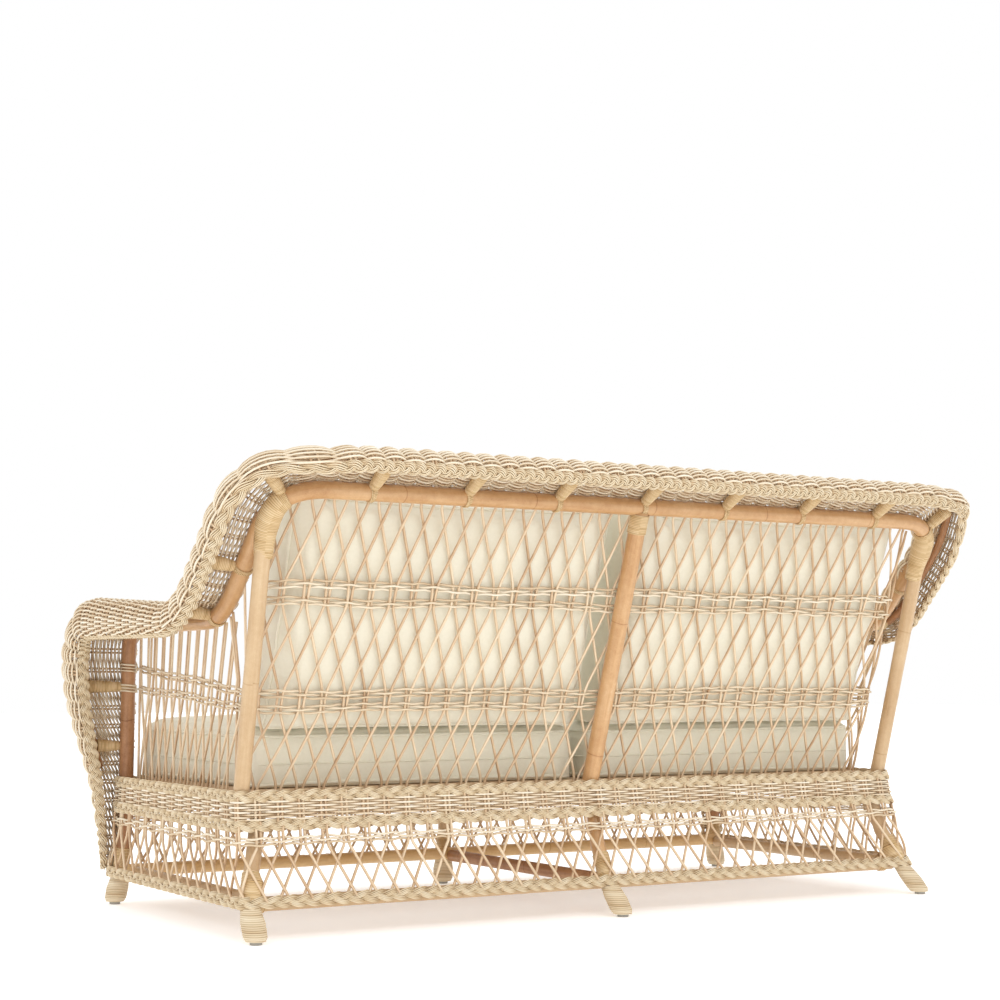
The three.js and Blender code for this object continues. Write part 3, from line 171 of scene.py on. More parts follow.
def new_group(name, inputs, outputs):
    tree = bpy.data.node_groups.new(name, "ShaderNodeTree")
    for label, kind, value in inputs:
        socket = tree.interface.new_socket(label, in_out="INPUT", socket_type="NodeSocket" + kind)
        if value is not None:
            socket.default_value = value
    for label in outputs:
        tree.interface.new_socket(label, in_out="OUTPUT", socket_type="NodeSocketFloat")
    return tree, tree.nodes.new("NodeGroupInput").outputs, tree.nodes.new("NodeGroupOutput").inputs


def math_node(tree, operation, *values, clamp=False):
    return new_node(tree, "Math", dict(enumerate(values)), operation=operation, use_clamp=clamp).outputs[0]


def weighed(tree, *parts, clamp=False):
    """Sum of values, each times its weight."""
    total = None
    for value, weight in parts:
        term = math_node(tree, "MULTIPLY", value, weight)
        total = term if total is None else math_node(tree, "ADD", total, term, clamp=clamp)
    return total


def within(tree, value, low, high, top=1.0):
    settings = {"Value": value, "From Min": low, "From Max": high, "To Max": top}
    return new_node(tree, "MapRange", settings).outputs[0]


def noise(tree, vector, scale, detail=2.0, stretch=(1, 1, 1)):
    scaled = new_node(tree, "VectorMath", {0: vector, 1: stretch}, operation="MULTIPLY").outputs[0]
    return new_node(tree, "TexNoise", {"Vector": scaled, "Scale": scale, "Detail": detail}).outputs["Fac"]


def fibre_group():
    """Long fibres, soft blotches and each cane's own tone, with painted shade along the sides of each cane
    and painted light and shade where a cane lies on top or dives under.
    """
    tree, given, out = new_group("cane_fibre", [
        ("Vector", "Vector", None), ("Tone", "Float", 0.5), ("Lift", "Float", 0.0), ("Crease", "Float", 0.3),
        ("Fibres", "Float", 1.0), ("Blotches", "Float", 1.0)], ["Shade", "Fibre"])
    round_cane = new_node(tree, "SeparateXYZ", {0: given["Vector"]}).outputs["X"]
    # Painted shade: each cane is darker along its two sides, where it meets its neighbours, and lighter on
    # top and underneath.
    facing = math_node(tree, "COSINE", math_node(tree, "MULTIPLY", round_cane, 4 * math.pi))
    painted_side_shade = math_node(tree, "MULTIPLY", math_node(tree, "SUBTRACT", 0.7, facing), given["Crease"])
    # The cane's own tone, plus painted light and shade where it lies on top or dives under, minus the painted
    # side shade.
    own = math_node(tree, "SUBTRACT", math_node(tree, "ADD", given["Tone"], given["Lift"]), painted_side_shade)
    shifted = new_node(tree, "CombineXYZ", {2: math_node(tree, "MULTIPLY", given["Tone"], 37.0)}).outputs[0]
    moved = new_node(tree, "VectorMath", {0: given["Vector"], 1: shifted}, operation="ADD").outputs[0]
    fibre = noise(tree, moved, 1.0, 3.0, (9, 60, 1))
    blotch = noise(tree, moved, 1.0, 2.0, (1.3, 14, 1))
    fibres = math_node(tree, "MULTIPLY", math_node(tree, "SUBTRACT", fibre, 0.5), given["Fibres"])
    blotches = math_node(tree, "MULTIPLY", math_node(tree, "SUBTRACT", blotch, 0.5), given["Blotches"])
    total = math_node(tree, "ADD", math_node(tree, "ADD", fibres, blotches), own, clamp=True)
    tree.links.new(total, out["Shade"])
    tree.links.new(fibre, out["Fibre"])
    return tree


def winding_group():
    """Each turn of a winding has its own tone; fine fibres run along the turn, and painted shade darkens the
    groove between two turns.
    """
    tree, given, out = new_group("winding", [("Vector", "Vector", None), ("Turn", "Float", 0.003)],
                                 ["Shade", "Fibre"])
    split = new_node(tree, "SeparateXYZ", {0: given["Vector"]}).outputs
    turns = math_node(tree, "DIVIDE", split["Y"], given["Turn"])
    turn = math_node(tree, "FLOOR", math_node(tree, "ADD", turns, split["X"]))
    own = new_node(tree, "TexWhiteNoise", {"W": turn}, noise_dimensions="1D").outputs["Value"]
    fibre = noise(tree, given["Vector"], 1.0, 3.0, (5, 900, 1))
    soft = noise(tree, given["Vector"], 1.0, 2.0, (1.5, 40, 1))
    shade = weighed(tree, (own, 0.3), (soft, 0.9))
    # Painted shade in the groove between two turns.
    near = math_node(tree, "ABSOLUTE", math_node(tree, "SUBTRACT", math_node(tree, "FRACT", turns), 0.5))
    shade = math_node(tree, "SUBTRACT", shade, within(tree, near, 0.28, 0.5, 0.6), clamp=True)
    tree.links.new(shade, out["Shade"])
    tree.links.new(fibre, out["Fibre"])
    return tree


def pole_group():
    """Rattan pole: faint joints, long streaks and fine pores."""
    tree, given, out = new_group("pole_figure", [
        ("Vector", "Vector", None), ("Place", "Vector", None), ("Joints", "Float", 0.25),
        ("Mottle", "Float", 1.0)], ["Shade", "Joint", "Pores"])
    split = new_node(tree, "SeparateXYZ", {0: given["Vector"]}).outputs
    uneven = math_node(tree, "MULTIPLY", noise(tree, given["Vector"], 1.0, 1.0, (2, 3, 1)), 0.05)
    along = math_node(tree, "ADD", math_node(tree, "DIVIDE", split["Y"], given["Joints"]), uneven)
    near = math_node(tree, "ABSOLUTE", math_node(tree, "SUBTRACT", math_node(tree, "FRACT", along), 0.5))
    joint = within(tree, near, 0.006, 0.0)
    streak = noise(tree, given["Place"], 90.0, 4.0)
    pores = noise(tree, given["Vector"], 1.0, 2.0, (60, 320, 1))
    cloud = noise(tree, given["Place"], 7.0, 2.0)
    grain = noise(tree, given["Vector"], 1.0, 3.0, (12, 9, 1))
    parts = [(streak, 0.35), (pores, 0.3), (cloud, 0.7), (grain, 0.55)]
    total = 0.5
    for value, weight in parts:
        centred = math_node(tree, "MULTIPLY", math_node(tree, "SUBTRACT", value, 0.5), weight)
        total = math_node(tree, "ADD", total, math_node(tree, "MULTIPLY", centred, given["Mottle"]))
    total = math_node(tree, "SUBTRACT", total, math_node(tree, "MULTIPLY", joint, 0.35), clamp=True)
    tree.links.new(total, out["Shade"])
    tree.links.new(joint, out["Joint"])
    tree.links.new(pores, out["Pores"])
    return tree


def canvas_group():
    """Plain canvas: threads in three directions, slubs and soft unevenness."""
    tree, given, out = new_group("canvas", [("Vector", "Vector", None), ("Threads", "Float", 1500.0)],
                                 ["Shade", "Thread"])
    settings = {"Vector": given["Vector"], "Scale": given["Threads"], "Distortion": 0.6, "Detail": 1.0}
    threads = [new_node(tree, "TexWave", settings, bands_direction=way).outputs["Fac"] for way in "XYZ"]
    weave = weighed(tree, *((thread, 0.33) for thread in threads))
    slub = noise(tree, given["Vector"], 160.0, 3.0)
    soft = noise(tree, given["Vector"], 9.0, 2.0)
    shade = weighed(tree, (slub, 0.4), (soft, 0.4), (weave, 0.2), clamp=True)
    tree.links.new(shade, out["Shade"])
    tree.links.new(weave, out["Thread"])
    return tree


FIBRE, WINDING, FIGURE, CANVAS = fibre_group(), winding_group(), pole_group(), canvas_group()


def colour(code):
    channels = [int(code[i:i + 2], 16) / 255 for i in (0, 2, 4)]
    return tuple(((c + 0.055) / 1.055) ** 2.4 if c > 0.04045 else c / 12.92 for c in channels) + (1.0,)


def start_material(name, group, inputs):
    material = bpy.data.materials.new(name)
    material.use_nodes = True
    tree = material.node_tree
    effect = new_node(tree, "Group", inputs(tree), node_tree=group)
    return material, tree, effect.outputs, tree.nodes["Principled BSDF"].inputs


def ramp(tree, factor, codes):
    made = new_node(tree, "ValToRGB", {"Fac": factor})
    stops = made.color_ramp.elements
    while len(stops) < len(codes):
        stops.new(0.5)
    for i, code in enumerate(codes):
        stops[i].position = i / (len(codes) - 1)
        stops[i].color = colour(code)
    return made.outputs["Color"]


SPREAD = 0.08            # how far the roughness strays either way


def finish_material(tree, shader, tint, height, strength, distance, roughness, gloss=None):
    tree.links.new(tint, shader["Base Color"])
    bump = new_node(tree, "Bump", {"Strength": strength, "Distance": distance, "Height": height})
    tree.links.new(bump.outputs[0], shader["Normal"])
    ends = {"Value": height, "To Min": roughness - SPREAD, "To Max": roughness + SPREAD}
    rough = new_node(tree, "MapRange", ends)
    tree.links.new(rough.outputs[0], shader["Roughness"])
    shader["Specular IOR Level"].default_value = 0.4
    if gloss:
        shader["Coat Weight"].default_value = gloss
        shader["Coat Roughness"].default_value = 0.3


def strand_map(tree):
    return new_node(tree, "UVMap", uv_map="strand").outputs[0]


def object_place(tree):
    return new_node(tree, "TexCoord").outputs["Object"]


def cane_material(name, codes, roughness, fibres=0.5, blotches=0.5, crease=0.15):
    def inputs(tree):
        tone = new_node(tree, "Attribute", attribute_name="tone").outputs["Fac"]
        # Painted light and shade where a cane lies on top or dives under.
        lift = new_node(tree, "Attribute", attribute_name="lift").outputs["Fac"]
        return {"Vector": strand_map(tree), "Tone": tone, "Lift": lift, "Crease": crease, "Fibres": fibres,
                "Blotches": blotches}
    material, tree, effect, shader = start_material(name, FIBRE, inputs)
    finish_material(tree, shader, ramp(tree, effect["Shade"], codes), effect["Fibre"], 0.5, 0.0004, roughness)
    return material


def wrap_material(name, codes, roughness, turn):
    def inputs(tree):
        return {"Vector": strand_map(tree), "Turn": turn}
    material, tree, effect, shader = start_material(name, WINDING, inputs)
    finish_material(tree, shader, ramp(tree, effect["Shade"], codes), effect["Fibre"], 0.4, 0.0003, roughness)
    return material


def pole_material(name, codes, roughness, mottle, gloss=None):
    def inputs(tree):
        return {"Vector": strand_map(tree), "Place": object_place(tree), "Joints": JOINT_LENGTH * MM,
                "Mottle": mottle}
    material, tree, effect, shader = start_material(name, FIGURE, inputs)
    tint = ramp(tree, effect["Shade"], codes)
    height = math_node(tree, "ADD", math_node(tree, "MULTIPLY", effect["Pores"], 0.5), effect["Joint"])
    finish_material(tree, shader, tint, height, 0.4, 0.0006, roughness, gloss)
    return material


def fabric_material(name, codes):
    def inputs(tree):
        return {"Vector": object_place(tree), "Threads": 700.0}
    material, tree, effect, shader = start_material(name, CANVAS, inputs)
    finish_material(tree, shader, ramp(tree, effect["Shade"], codes), effect["Thread"], 0.25, 0.0005, 0.9)
    shader["Sheen Weight"].default_value = 0.25
    shader["Sheen Roughness"].default_value = 0.5
    return material


def glide_material(name, codes):
    def inputs(tree):
        return {"Vector": object_place(tree), "Threads": 60.0}
    material, tree, effect, shader = start_material(name, CANVAS, inputs)
    finish_material(tree, shader, ramp(tree, effect["Shade"], codes), effect["Shade"], 0.1, 0.0002, 0.5)
    return material


# Painted shade darkens the sides of every cane in these cane materials, most in the braided cane and least in
# the spokes.
STRAW = cane_material("natural_cane", ["a98966", "d6bf9e", "eadcc3", "f6eedd"], 0.6)
BRAIDED = cane_material("braided_cane", ["a98864", "d0b892", "e2d1b2", "eee2cb"], 0.62, crease=0.2)
SPOKES = cane_material("spoke_cane", ["b08b67", "d3b592", "e5ceae", "f0e0c5"], 0.5, 0.4, 0.8, 0.08)
WRAP = wrap_material("wound_cane", ["8f6a3c", "c9a875", "dbc095", "e8d4b0"], 0.5, 0.003)
FOOT_WRAP = wrap_material("foot_wrap", ["9b7b57", "cfb893", "e2d2b5", "ede2ca"], 0.6, 0.0034)
VARNISHED = pole_material("varnished_rattan", ["9d6b3d", "c19261", "d4ab7c", "e4c49c"], 0.36, 1.1, 0.2)
PEELED = pole_material("peeled_rattan", ["a88357", "c3a27a", "d1b48d", "dfc7a5"], 0.42, 1.0, 0.1)
# A lighter copy of the peeled rattan: partly the rail's own golden colour, partly painted light for a rail
# that stands in shade inside the skirt.
GOLDEN_PAINTED_LIGHT = pole_material("golden_rattan_painted_light", ["b98d55", "d8b27c", "e8c795", "f0d7ad"], 0.42, 1.0, 0.1)
BARK = pole_material("bark_rattan", ["744a2e", "9c6d49", "b78862", "cba27c"], 0.45, 1.3)
COVER = fabric_material("cream_canvas", ["dcd7c3", "e9e4d1", "f1eddd"])
GLIDE = glide_material("glide_plastic", ["77746e", "98958e", "aca9a2"])


# Meshes
def finished(piece, body, material, slot, *nodes):
    piece.data.materials.clear()
    piece.data.materials.append(material)
    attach(piece, body)
    if nodes:
        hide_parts(*nodes)
    return piece


def copied(first, name):
    copy = first.copy()
    copy.data = first.data.copy()
    copy.name = name
    bpy.context.scene.collection.objects.link(copy)
    return copy


def round_edges(offset, segments):
    """Bevels every edge of the mesh that was just added."""
    bpy.ops.object.mode_set(mode="EDIT")
    bpy.ops.mesh.select_all(action="SELECT")
    bpy.ops.mesh.bevel(offset=offset, segments=segments, affect="EDGES")
    bpy.ops.mesh.normals_make_consistent(inside=False)
    bpy.ops.object.mode_set(mode="OBJECT")


def mesh_points(mesh):
    co = np.empty(len(mesh.vertices) * 3, np.float32)
    mesh.vertices.foreach_get("co", co)
    return co.reshape(-1, 3)


def move_points(mesh, co):
    mesh.vertices.foreach_set("co", co.astype(np.float32).ravel())
    mesh.update()


def surface_tree(mesh):
    return BVHTree.FromPolygons([v.co[:] for v in mesh.vertices], [p.vertices[:] for p in mesh.polygons])


def framed(path, out):
    """Unit vectors along the path, outward and across, at every point."""
    t = unit(np.gradient(path, axis=0))
    if out is None:
        first = np.cross(t[0], (0.3, 0.2, 1.0))
        side = [unit(first)]
        for k in range(1, len(path)):
            v = side[-1] - t[k] * np.dot(side[-1], t[k])
            side.append(unit(v))
        n = np.array(side)
    else:
        n = np.broadcast_to(out, path.shape)
        n = unit(n - t * np.sum(n * t, axis=1, keepdims=True))
    return t, n, np.cross(t, n)


def strands(name, paths, radius, sides=6, outs=None, closed=False, tones=None, start=None, over_under_shades=None):
    """One mesh of many round canes. A path is an (n, 3) array, and radius is one number, or a list with the
    radii of each path. Each path may carry painted light and shade: the cane is drawn lighter where it lies
    on top and darker where it dives under."""
    points, faces, corners, shades, over_under_shading = [], [], [], [], []
    base = 0
    turn = np.arange(sides) / sides * 2 * np.pi
    for index, path in enumerate(paths):
        path = np.asarray(path, float)
        count = len(path)
        if closed:
            wide = np.vstack([path[-1:], path, path[:1]])
            out = None if outs is None else np.vstack([outs[index][-1:], outs[index], outs[index][:1]])
            t, n, b = (v[1:-1] for v in framed(wide, out))
        else:
            t, n, b = framed(path, None if outs is None else outs[index])
        r = np.broadcast_to(np.asarray(radius[index] if isinstance(radius, list) else radius, float), count)
        ring = path[:, None] + r[:, None, None] * (np.cos(turn)[None, :, None] * n[:, None]
                                                   + np.sin(turn)[None, :, None] * b[:, None])
        points.append(ring.reshape(-1, 3))
        along = distances(np.vstack([path, path[:1]]) if closed else path) * MM
        tone = chance.uniform(0.3, 0.75) if tones is None else tones[index]
        begin = chance.uniform(0, 5) if start is None else start
        shades.append(np.full(count * sides, tone))
        # Painted light and shade along each cane, kept in the point attribute lift.
        over_under_shading.append(np.repeat(np.broadcast_to(0.0 if over_under_shades is None else over_under_shades[index], count), sides))
        i = np.repeat(np.arange(count if closed else count - 1), sides)
        j = np.tile(np.arange(sides), len(i) // sides)
        k = (j + 1) % sides
        i2 = (i + 1) % count
        quads = np.stack([i * sides + j, i * sides + k, i2 * sides + k, i2 * sides + j], 1) + base
        faces.extend(quads.tolist())
        u = np.stack([j, j + 1, j + 1, j], 1) / sides
        v = np.stack([along[i], along[i], along[i + 1], along[i + 1]], 1) + begin
        corners.append(np.stack([u, v], 2).reshape(-1, 2))
        if not closed:
            ends = base + np.array([np.arange(sides)[::-1], np.arange(sides) + (count - 1) * sides])
            faces.extend(ends.tolist())
            corners.append(np.tile([[0.5, begin]], (2 * sides, 1)))
        base += count * sides
    mesh = bpy.data.meshes.new(name)
    mesh.from_pydata(placed(np.vstack(points)).tolist(), [], faces)
    layer = mesh.uv_layers.new(name="strand")
    layer.data.foreach_set("uv", np.vstack(corners).astype(np.float32).ravel())
    for label, values in (("tone", shades), ("lift", over_under_shading)):
        attribute = mesh.attributes.new(label, "FLOAT", "POINT")
        attribute.data.foreach_set("value", np.concatenate(values).astype(np.float32))
    mesh.polygons.foreach_set("use_smooth", np.array([len(f) == 4 for f in faces]))
    mesh.update()
    piece = bpy.data.objects.new(name, mesh)
    bpy.context.scene.collection.objects.link(piece)
    return piece


def pole(name, path, radius, material=VARNISHED, slot="varnished_pole", nodes=(), closed=False):
    """A rattan pole: its girth wanders a little and swells at the joints of the cane."""
    path = resampled(path, 6.0)
    along = distances(path)
    start = chance.uniform(0, 240)
    from_joint = (along + start) % JOINT_LENGTH - JOINT_LENGTH / 2
    girth = radius + 0.35 * np.exp(-(from_joint / 5.0) ** 2) + 0.2 * np.sin(along / 57.0 + start)
    if closed:
        path, girth = path[:-1], girth[:-1]
    return finished(strands(name, [path], [girth], 20, closed=closed), "frame", material, slot, *nodes)


def winding(name, path, radii, turn=3.0, depth=0.7, material=WRAP, nodes=(), sides=20):
    """Cane wound closely round a core: the surface ripples once a turn."""
    path = np.asarray(path, float)
    along = distances(path)
    fine = resampled(path, turn / 4)
    at = distances(fine)
    r = np.interp(at, along, radii) + depth * np.abs(np.sin(np.pi * at / turn)) - depth / 2
    piece = strands(name, [fine], [r], sides, start=0.0)
    return finished(piece, "frame", material, "cane_wrap", *nodes)


# Paths of the poles
MIDDLE = np.array([0, HOOP_BACK, HOOP_TOP])
BACK_CORNER = np.array([HOOP_HALF_WIDTH, HOOP_BACK, HOOP_TOP])
ARM_CORNER = np.array([770.0, -147, ARM_LINE])
FRONT_CORNER = np.array([FRONT_X, -672, ARM_LINE])
POST_AT_BAND = np.array([FRONT_X, FRONT_Y, BAND_LINE])
back_bend = bend(MIDDLE, BACK_CORNER, ARM_CORNER, 98)
arm_bend = bend(BACK_CORNER, ARM_CORNER, FRONT_CORNER, 75)
front_bend = bend(ARM_CORNER, FRONT_CORNER, POST_AT_BAND, 60)
HOOP_HALF = np.vstack([MIDDLE, back_bend, arm_bend, front_bend[0]])
LEAN = (HOOP_BACK - POST_FOOT) / (HOOP_TOP - BAND_LINE)
BACK_LEAN = math.atan(LEAN)
HANDS = (("left", 1), ("right", -1))


def flare(z):
    """How far the base has spread at a height, from 0 at the band to 1 near the floor."""
    return np.maximum((BAND_LINE - np.asarray(z, float)) / FLARE_REACH, 0) ** FLARE_POWER


# Where the legs, rails and feet stand: x, y and height of their turning points
REAR_LEG = np.array([[715, -107.6, 237.4], [738, -86, 130], [757, -62.1, 85], [760.5, -53.4, 61],
                     [762, -48, 54]])
REAR_MIDDLE_LEG = np.array([[0, -110.1, 229], [0, -86, 130], [0, -62.1, 85], [0, -53.4, 61], [0, -48, 54]])
FRONT_MIDDLE_LEG = np.array([[0, -687.9, 237.4], [0, -699, 58], [0, FRONT_FEET, 20]])
FRONT_TOE = FRONT_FEET + 6
FRONT_LEG = np.array([[FRONT_X, FRONT_Y, 182], [755, FRONT_TOE, 85], [759, FRONT_TOE, 58],
                      [762, FRONT_TOE - 2, 50]])
CORNER_LEAN = (14 + 108.5) / (735 - BAND_LINE)
CORNER_POST = np.array([[748, -108.5 - CORNER_LEAN * 72, 190], [758, 14, 735]])
SIDE_RAIL = np.array([[736.0, -92, 66], [736, -658, 66]])
REAR_RAIL_Y, REAR_RAIL_Z, LIGATURE_X = -77, 60, (722, 723, 737, 738)
REAR_FOOT_X, FRONT_FOOT_X, FOOT_SPREAD, REAR_SPREAD, FRONT_SPREAD = 770, 768, 9, 42, -3


def make_poles():
    """The poles with the windings at their joints, and the wound feet."""
    splice = front_bend[0] + unit(arm_bend[-1] - front_bend[0]) * 20
    pole("hoop_pole", both_ways(np.vstack([MIDDLE, back_bend, arm_bend, splice])), HOOP, nodes=["back_hoop"])
    foot = np.array([0, POST_FOOT - LEAN * (BAND_LINE - RING_LINE), RING_LINE])
    pole("centre_pole", [foot, mix(foot, MIDDLE, 0.985)], CENTRE, nodes=["centre_post"])
    peeled = dict(material=PEELED, slot="peeled_pole")
    ring = rounded_loop(np.linspace(0, 1, 241), SHELL_HALF, RING_REAR, RING_FRONT, SHELL_CORNER)
    pole("seat_ring", np.column_stack([ring, np.full(len(ring), RING_LINE)]), LEG, closed=True,
         nodes=["seat_frame"], **peeled)
    for hand, way in HANDS:
        turned = (way, 1, 1)
        pole(f"corner_pole_{hand}", CORNER_POST * turned, POST, nodes=[f"corner_post_{hand}"], **peeled)
        front = np.vstack([splice, front_bend, POST_AT_BAND, FRONT_LEG]) * turned
        pole(f"front_pole_{hand}", front, POST, BARK, "bark_pole", [f"front_post_{hand}"])
        rear = REAR_LEG * turned
        pole(f"rear_leg_pole_{hand}", rear, LEG, nodes=[f"rear_leg_{hand}"], **peeled)
        pole(f"side_rail_{hand}", SIDE_RAIL * turned, RAIL, PEELED, nodes=[f"bottom_rail_{hand}"])
        leg_binding(f"rear_leg_binding_{hand}", rear, -7.0 * way)
        leg_binding(f"front_leg_binding_{hand}", front[-5:])
        winding(f"rail_ligature_{hand}", [[x * way, REAR_RAIL_Y, REAR_RAIL_Z] for x in LIGATURE_X],
                [RAIL, RAIL + 2.5, RAIL + 2.5, RAIL])
        foot_wrap(f"rear_foot_{hand}", REAR_FOOT_X * way, 0, FOOT_SPREAD * way, REAR_SPREAD)
        foot_wrap(f"front_foot_{hand}", FRONT_FOOT_X * way, FRONT_FEET, FOOT_SPREAD * way, FRONT_SPREAD)
    pole("rear_leg_pole_centre", REAR_MIDDLE_LEG, LEG, VARNISHED, "peeled_pole", ["rear_leg_centre"])
    pole("front_leg_pole_centre", FRONT_MIDDLE_LEG, LEG, nodes=["front_leg_centre"], **peeled)
    leg_binding("front_leg_binding_centre", FRONT_MIDDLE_LEG)
    foot_wrap("rear_foot_centre", 0, 0, 0, REAR_SPREAD)
    foot_wrap("front_foot_centre", 0, FRONT_FEET, 0, FRONT_SPREAD)
    leg_binding("rear_leg_binding_centre", REAR_MIDDLE_LEG)
    pole("rear_rail", [[x, REAR_RAIL_Y, REAR_RAIL_Z] for x in (-758, 758)], RAIL, PEELED,
         nodes=["bottom_rail_rear"])
    # The front rail gets the lighter golden rattan: partly its own colour, partly painted light for its place
    # in shade.
    pole("front_rail", [[-752, -674, 70], [752, -674, 70]], RAIL, GOLDEN_PAINTED_LIGHT, nodes=["bottom_rail_front"])
    pole("middle_rail", [[0, -90, 66], [0, -660, 66]], RAIL, BARK, nodes=["middle_stretcher"])


def leg_binding(name, leg, aside=0.0):
    """Cane wound over the joint of leg and rail; its foot can move aside over the rail's end."""
    heights = np.array([64.0, 66, 96, 108, 114, 116])
    over_rail = np.array([1, 1, 0.8, 0.2, 0, 0])
    path = np.column_stack([np.interp(-heights, -leg[:, 2], leg[:, 0]) + aside * over_rail,
                            np.interp(-heights, -leg[:, 2], leg[:, 1]), heights])
    swell = abs(aside) * over_rail * 0.8
    winding(name, path, np.array([-1, 2, 2, 2, 2, -1]) + LEG + swell, depth=0.8)


def foot_wrap(name, x, y, lean_x, lean_y):
    """Cane wound round a foot, which bellies out in the middle and leans at the top."""
    profile = np.array([[62, 15.0, 1.15], [54, 18.6, 1], [34, 22.2, 0.56], [13, 21.4, 0.14],
                        [5.6, 17.8, 0.03], [5.0, 12.0, 0.02]])
    wrap = winding(name, [[x, y, z] for z, r, lean in profile], profile[:, 1], turn=3.4, depth=1.0,
                   material=FOOT_WRAP, sides=24)
    co = mesh_points(wrap.data)
    lean = np.interp(-co[:, 2] / MM, -profile[:, 0], profile[:, 2]) * MM
    co[:, 0] -= lean_x * lean
    co[:, 1] -= lean_y * lean
    move_points(wrap.data, co)


SLAT, SLAT_PITCH, SLAT_LINE, SLAT_REACH = 5.2, 12.0, 254, 714
SLAT_REAR, SLAT_FRONT = -139, -658


def make_deck():
    """Split canes laid from front to back over the seat ring."""
    places = np.arange(-SLAT_REACH, SLAT_REACH + 1, SLAT_PITCH)
    slats = [resampled([[x, SLAT_REAR, SLAT_LINE], [x, SLAT_FRONT, SLAT_LINE]], 60) for x in places]
    finished(strands("seat_slats", slats, SLAT, 8), "frame", SPOKES, "peeled_pole", "seat_deck")


def make_glides():
    """A turned disc with a rounded lower edge, modelled once and copied under each foot."""
    radius, depth = (glide_high.x - glide_low.x) / 2, 0.006
    bpy.ops.mesh.primitive_cylinder_add(vertices=32, radius=radius, depth=depth, location=(0, 0, depth / 2))
    first = bpy.context.object
    round_edges(0.0012, 3)
    bpy.ops.object.transform_apply(location=True, rotation=True, scale=True)
    bpy.ops.object.shade_smooth_by_angle(angle=math.radians(50))
    for row in ("rear", "front"):
        for end in ("left", "centre", "right"):
            low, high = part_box(f"glide_{row}_{end}")
            disc = copied(first, f"foot_glide_{row}_{end}")
            disc.data.transform(Matrix.Translation(((low.x + high.x) / 2, (low.y + high.y) / 2, low.z)))
            finished(disc, "frame", GLIDE, "glide", f"glide_{row}_{end}")
    bpy.data.objects.remove(first)


# Base: a rounded rectangle that flares toward the floor, walked from the left end of the back
def loop_ends(half, rear, front, corner):
    """How far round a rounded rectangle each of its four sides and four corners ends."""
    arc = corner * np.pi / 2
    lengths = [2 * (half - corner), arc, rear - front - 2 * corner, arc] * 2
    return np.concatenate([[0], np.cumsum(lengths)])


def rounded_loop(share, half, rear, front, corner):
    """Points of a rounded rectangle at shares of its way round."""
    ends = loop_ends(half, rear, front, corner)
    return loop_at(np.mod(share, 1.0) * ends[-1], ends, half, rear, front, corner)[:, :2]


def loop_at(at, ends, half, rear, front, corner):
    """Points of a rounded rectangle and the way out of it, at lengths of its way round. The ends may be
    those of another rectangle, so that a flared outline keeps the shares of the one above it."""
    signs = [(1, 1), (-1, 1), (-1, -1), (1, -1)]
    at = np.asarray(at, float)
    half, rear, front = (np.broadcast_to(v, at.shape).astype(float) for v in (half, rear, front))
    point = np.zeros(at.shape + (4,))
    for k in range(8):
        mask = (at >= ends[k]) & (at < ends[k + 1] + (1e-6 if k == 7 else 0))
        share = (at[mask] - ends[k]) / (ends[k + 1] - ends[k])
        h, r, f = half[mask], rear[mask], front[mask]
        sx, sy = signs[(k // 2 + 1) % 4]
        cx = sx * (h - corner)
        cy = np.where(sy > 0, r - corner, f + corner)
        if k % 2:
            turn = (k // 2 + 1 + share) * np.pi / 2
            n = np.stack([np.cos(turn), np.sin(turn)], 1)
            point[mask] = np.column_stack([cx + corner * n[:, 0], cy + corner * n[:, 1], n])
        else:
            ox, oy = signs[(k // 2) % 4]
            qx = ox * (h - corner)
            qy = np.where(oy > 0, r - corner, f + corner)
            turn = (k // 2 + 1) * np.pi / 2
            n = np.array([np.cos(turn), np.sin(turn)])
            x, y = mix(qx, cx, share) + corner * n[0], mix(qy, cy, share) + corner * n[1]
            point[mask] = np.column_stack([x, y, np.tile(n, (len(share), 1))])
    return point


BASE_ENDS = loop_ends(HALF_WIDTH, BASE_REAR, BASE_FRONT, BASE_CORNER)
AROUND = BASE_ENDS[-1]
BASE_PAIRS = int(round(AROUND / PITCH))
BASE_PITCH = AROUND / BASE_PAIRS


def on_base(u, z, out):
    """Points on the flared outside of the base, u millimetres round it and moved out, with the way out."""
    u, z, out = np.broadcast_arrays(np.asarray(u, float), z, out)
    f = flare(z)
    p = loop_at(np.mod(u, AROUND), BASE_ENDS, HALF_WIDTH + END_FLARE * f, BASE_REAR + REAR_FLARE * f,
                BASE_FRONT - FRONT_FLARE * f, BASE_CORNER)
    normal = np.column_stack([p[:, 2], p[:, 3], np.zeros(len(p))])
    return np.column_stack([p[:, 0] + out * p[:, 2], p[:, 1] + out * p[:, 3], z]), normal


def floats(turns, sharp=1.8):
    """Depth of a weaver that passes over one stake pair and under the next: flat on top, quick between."""
    wave = np.sin(np.pi * turns)
    return np.tanh(sharp * wave) / np.tanh(sharp)


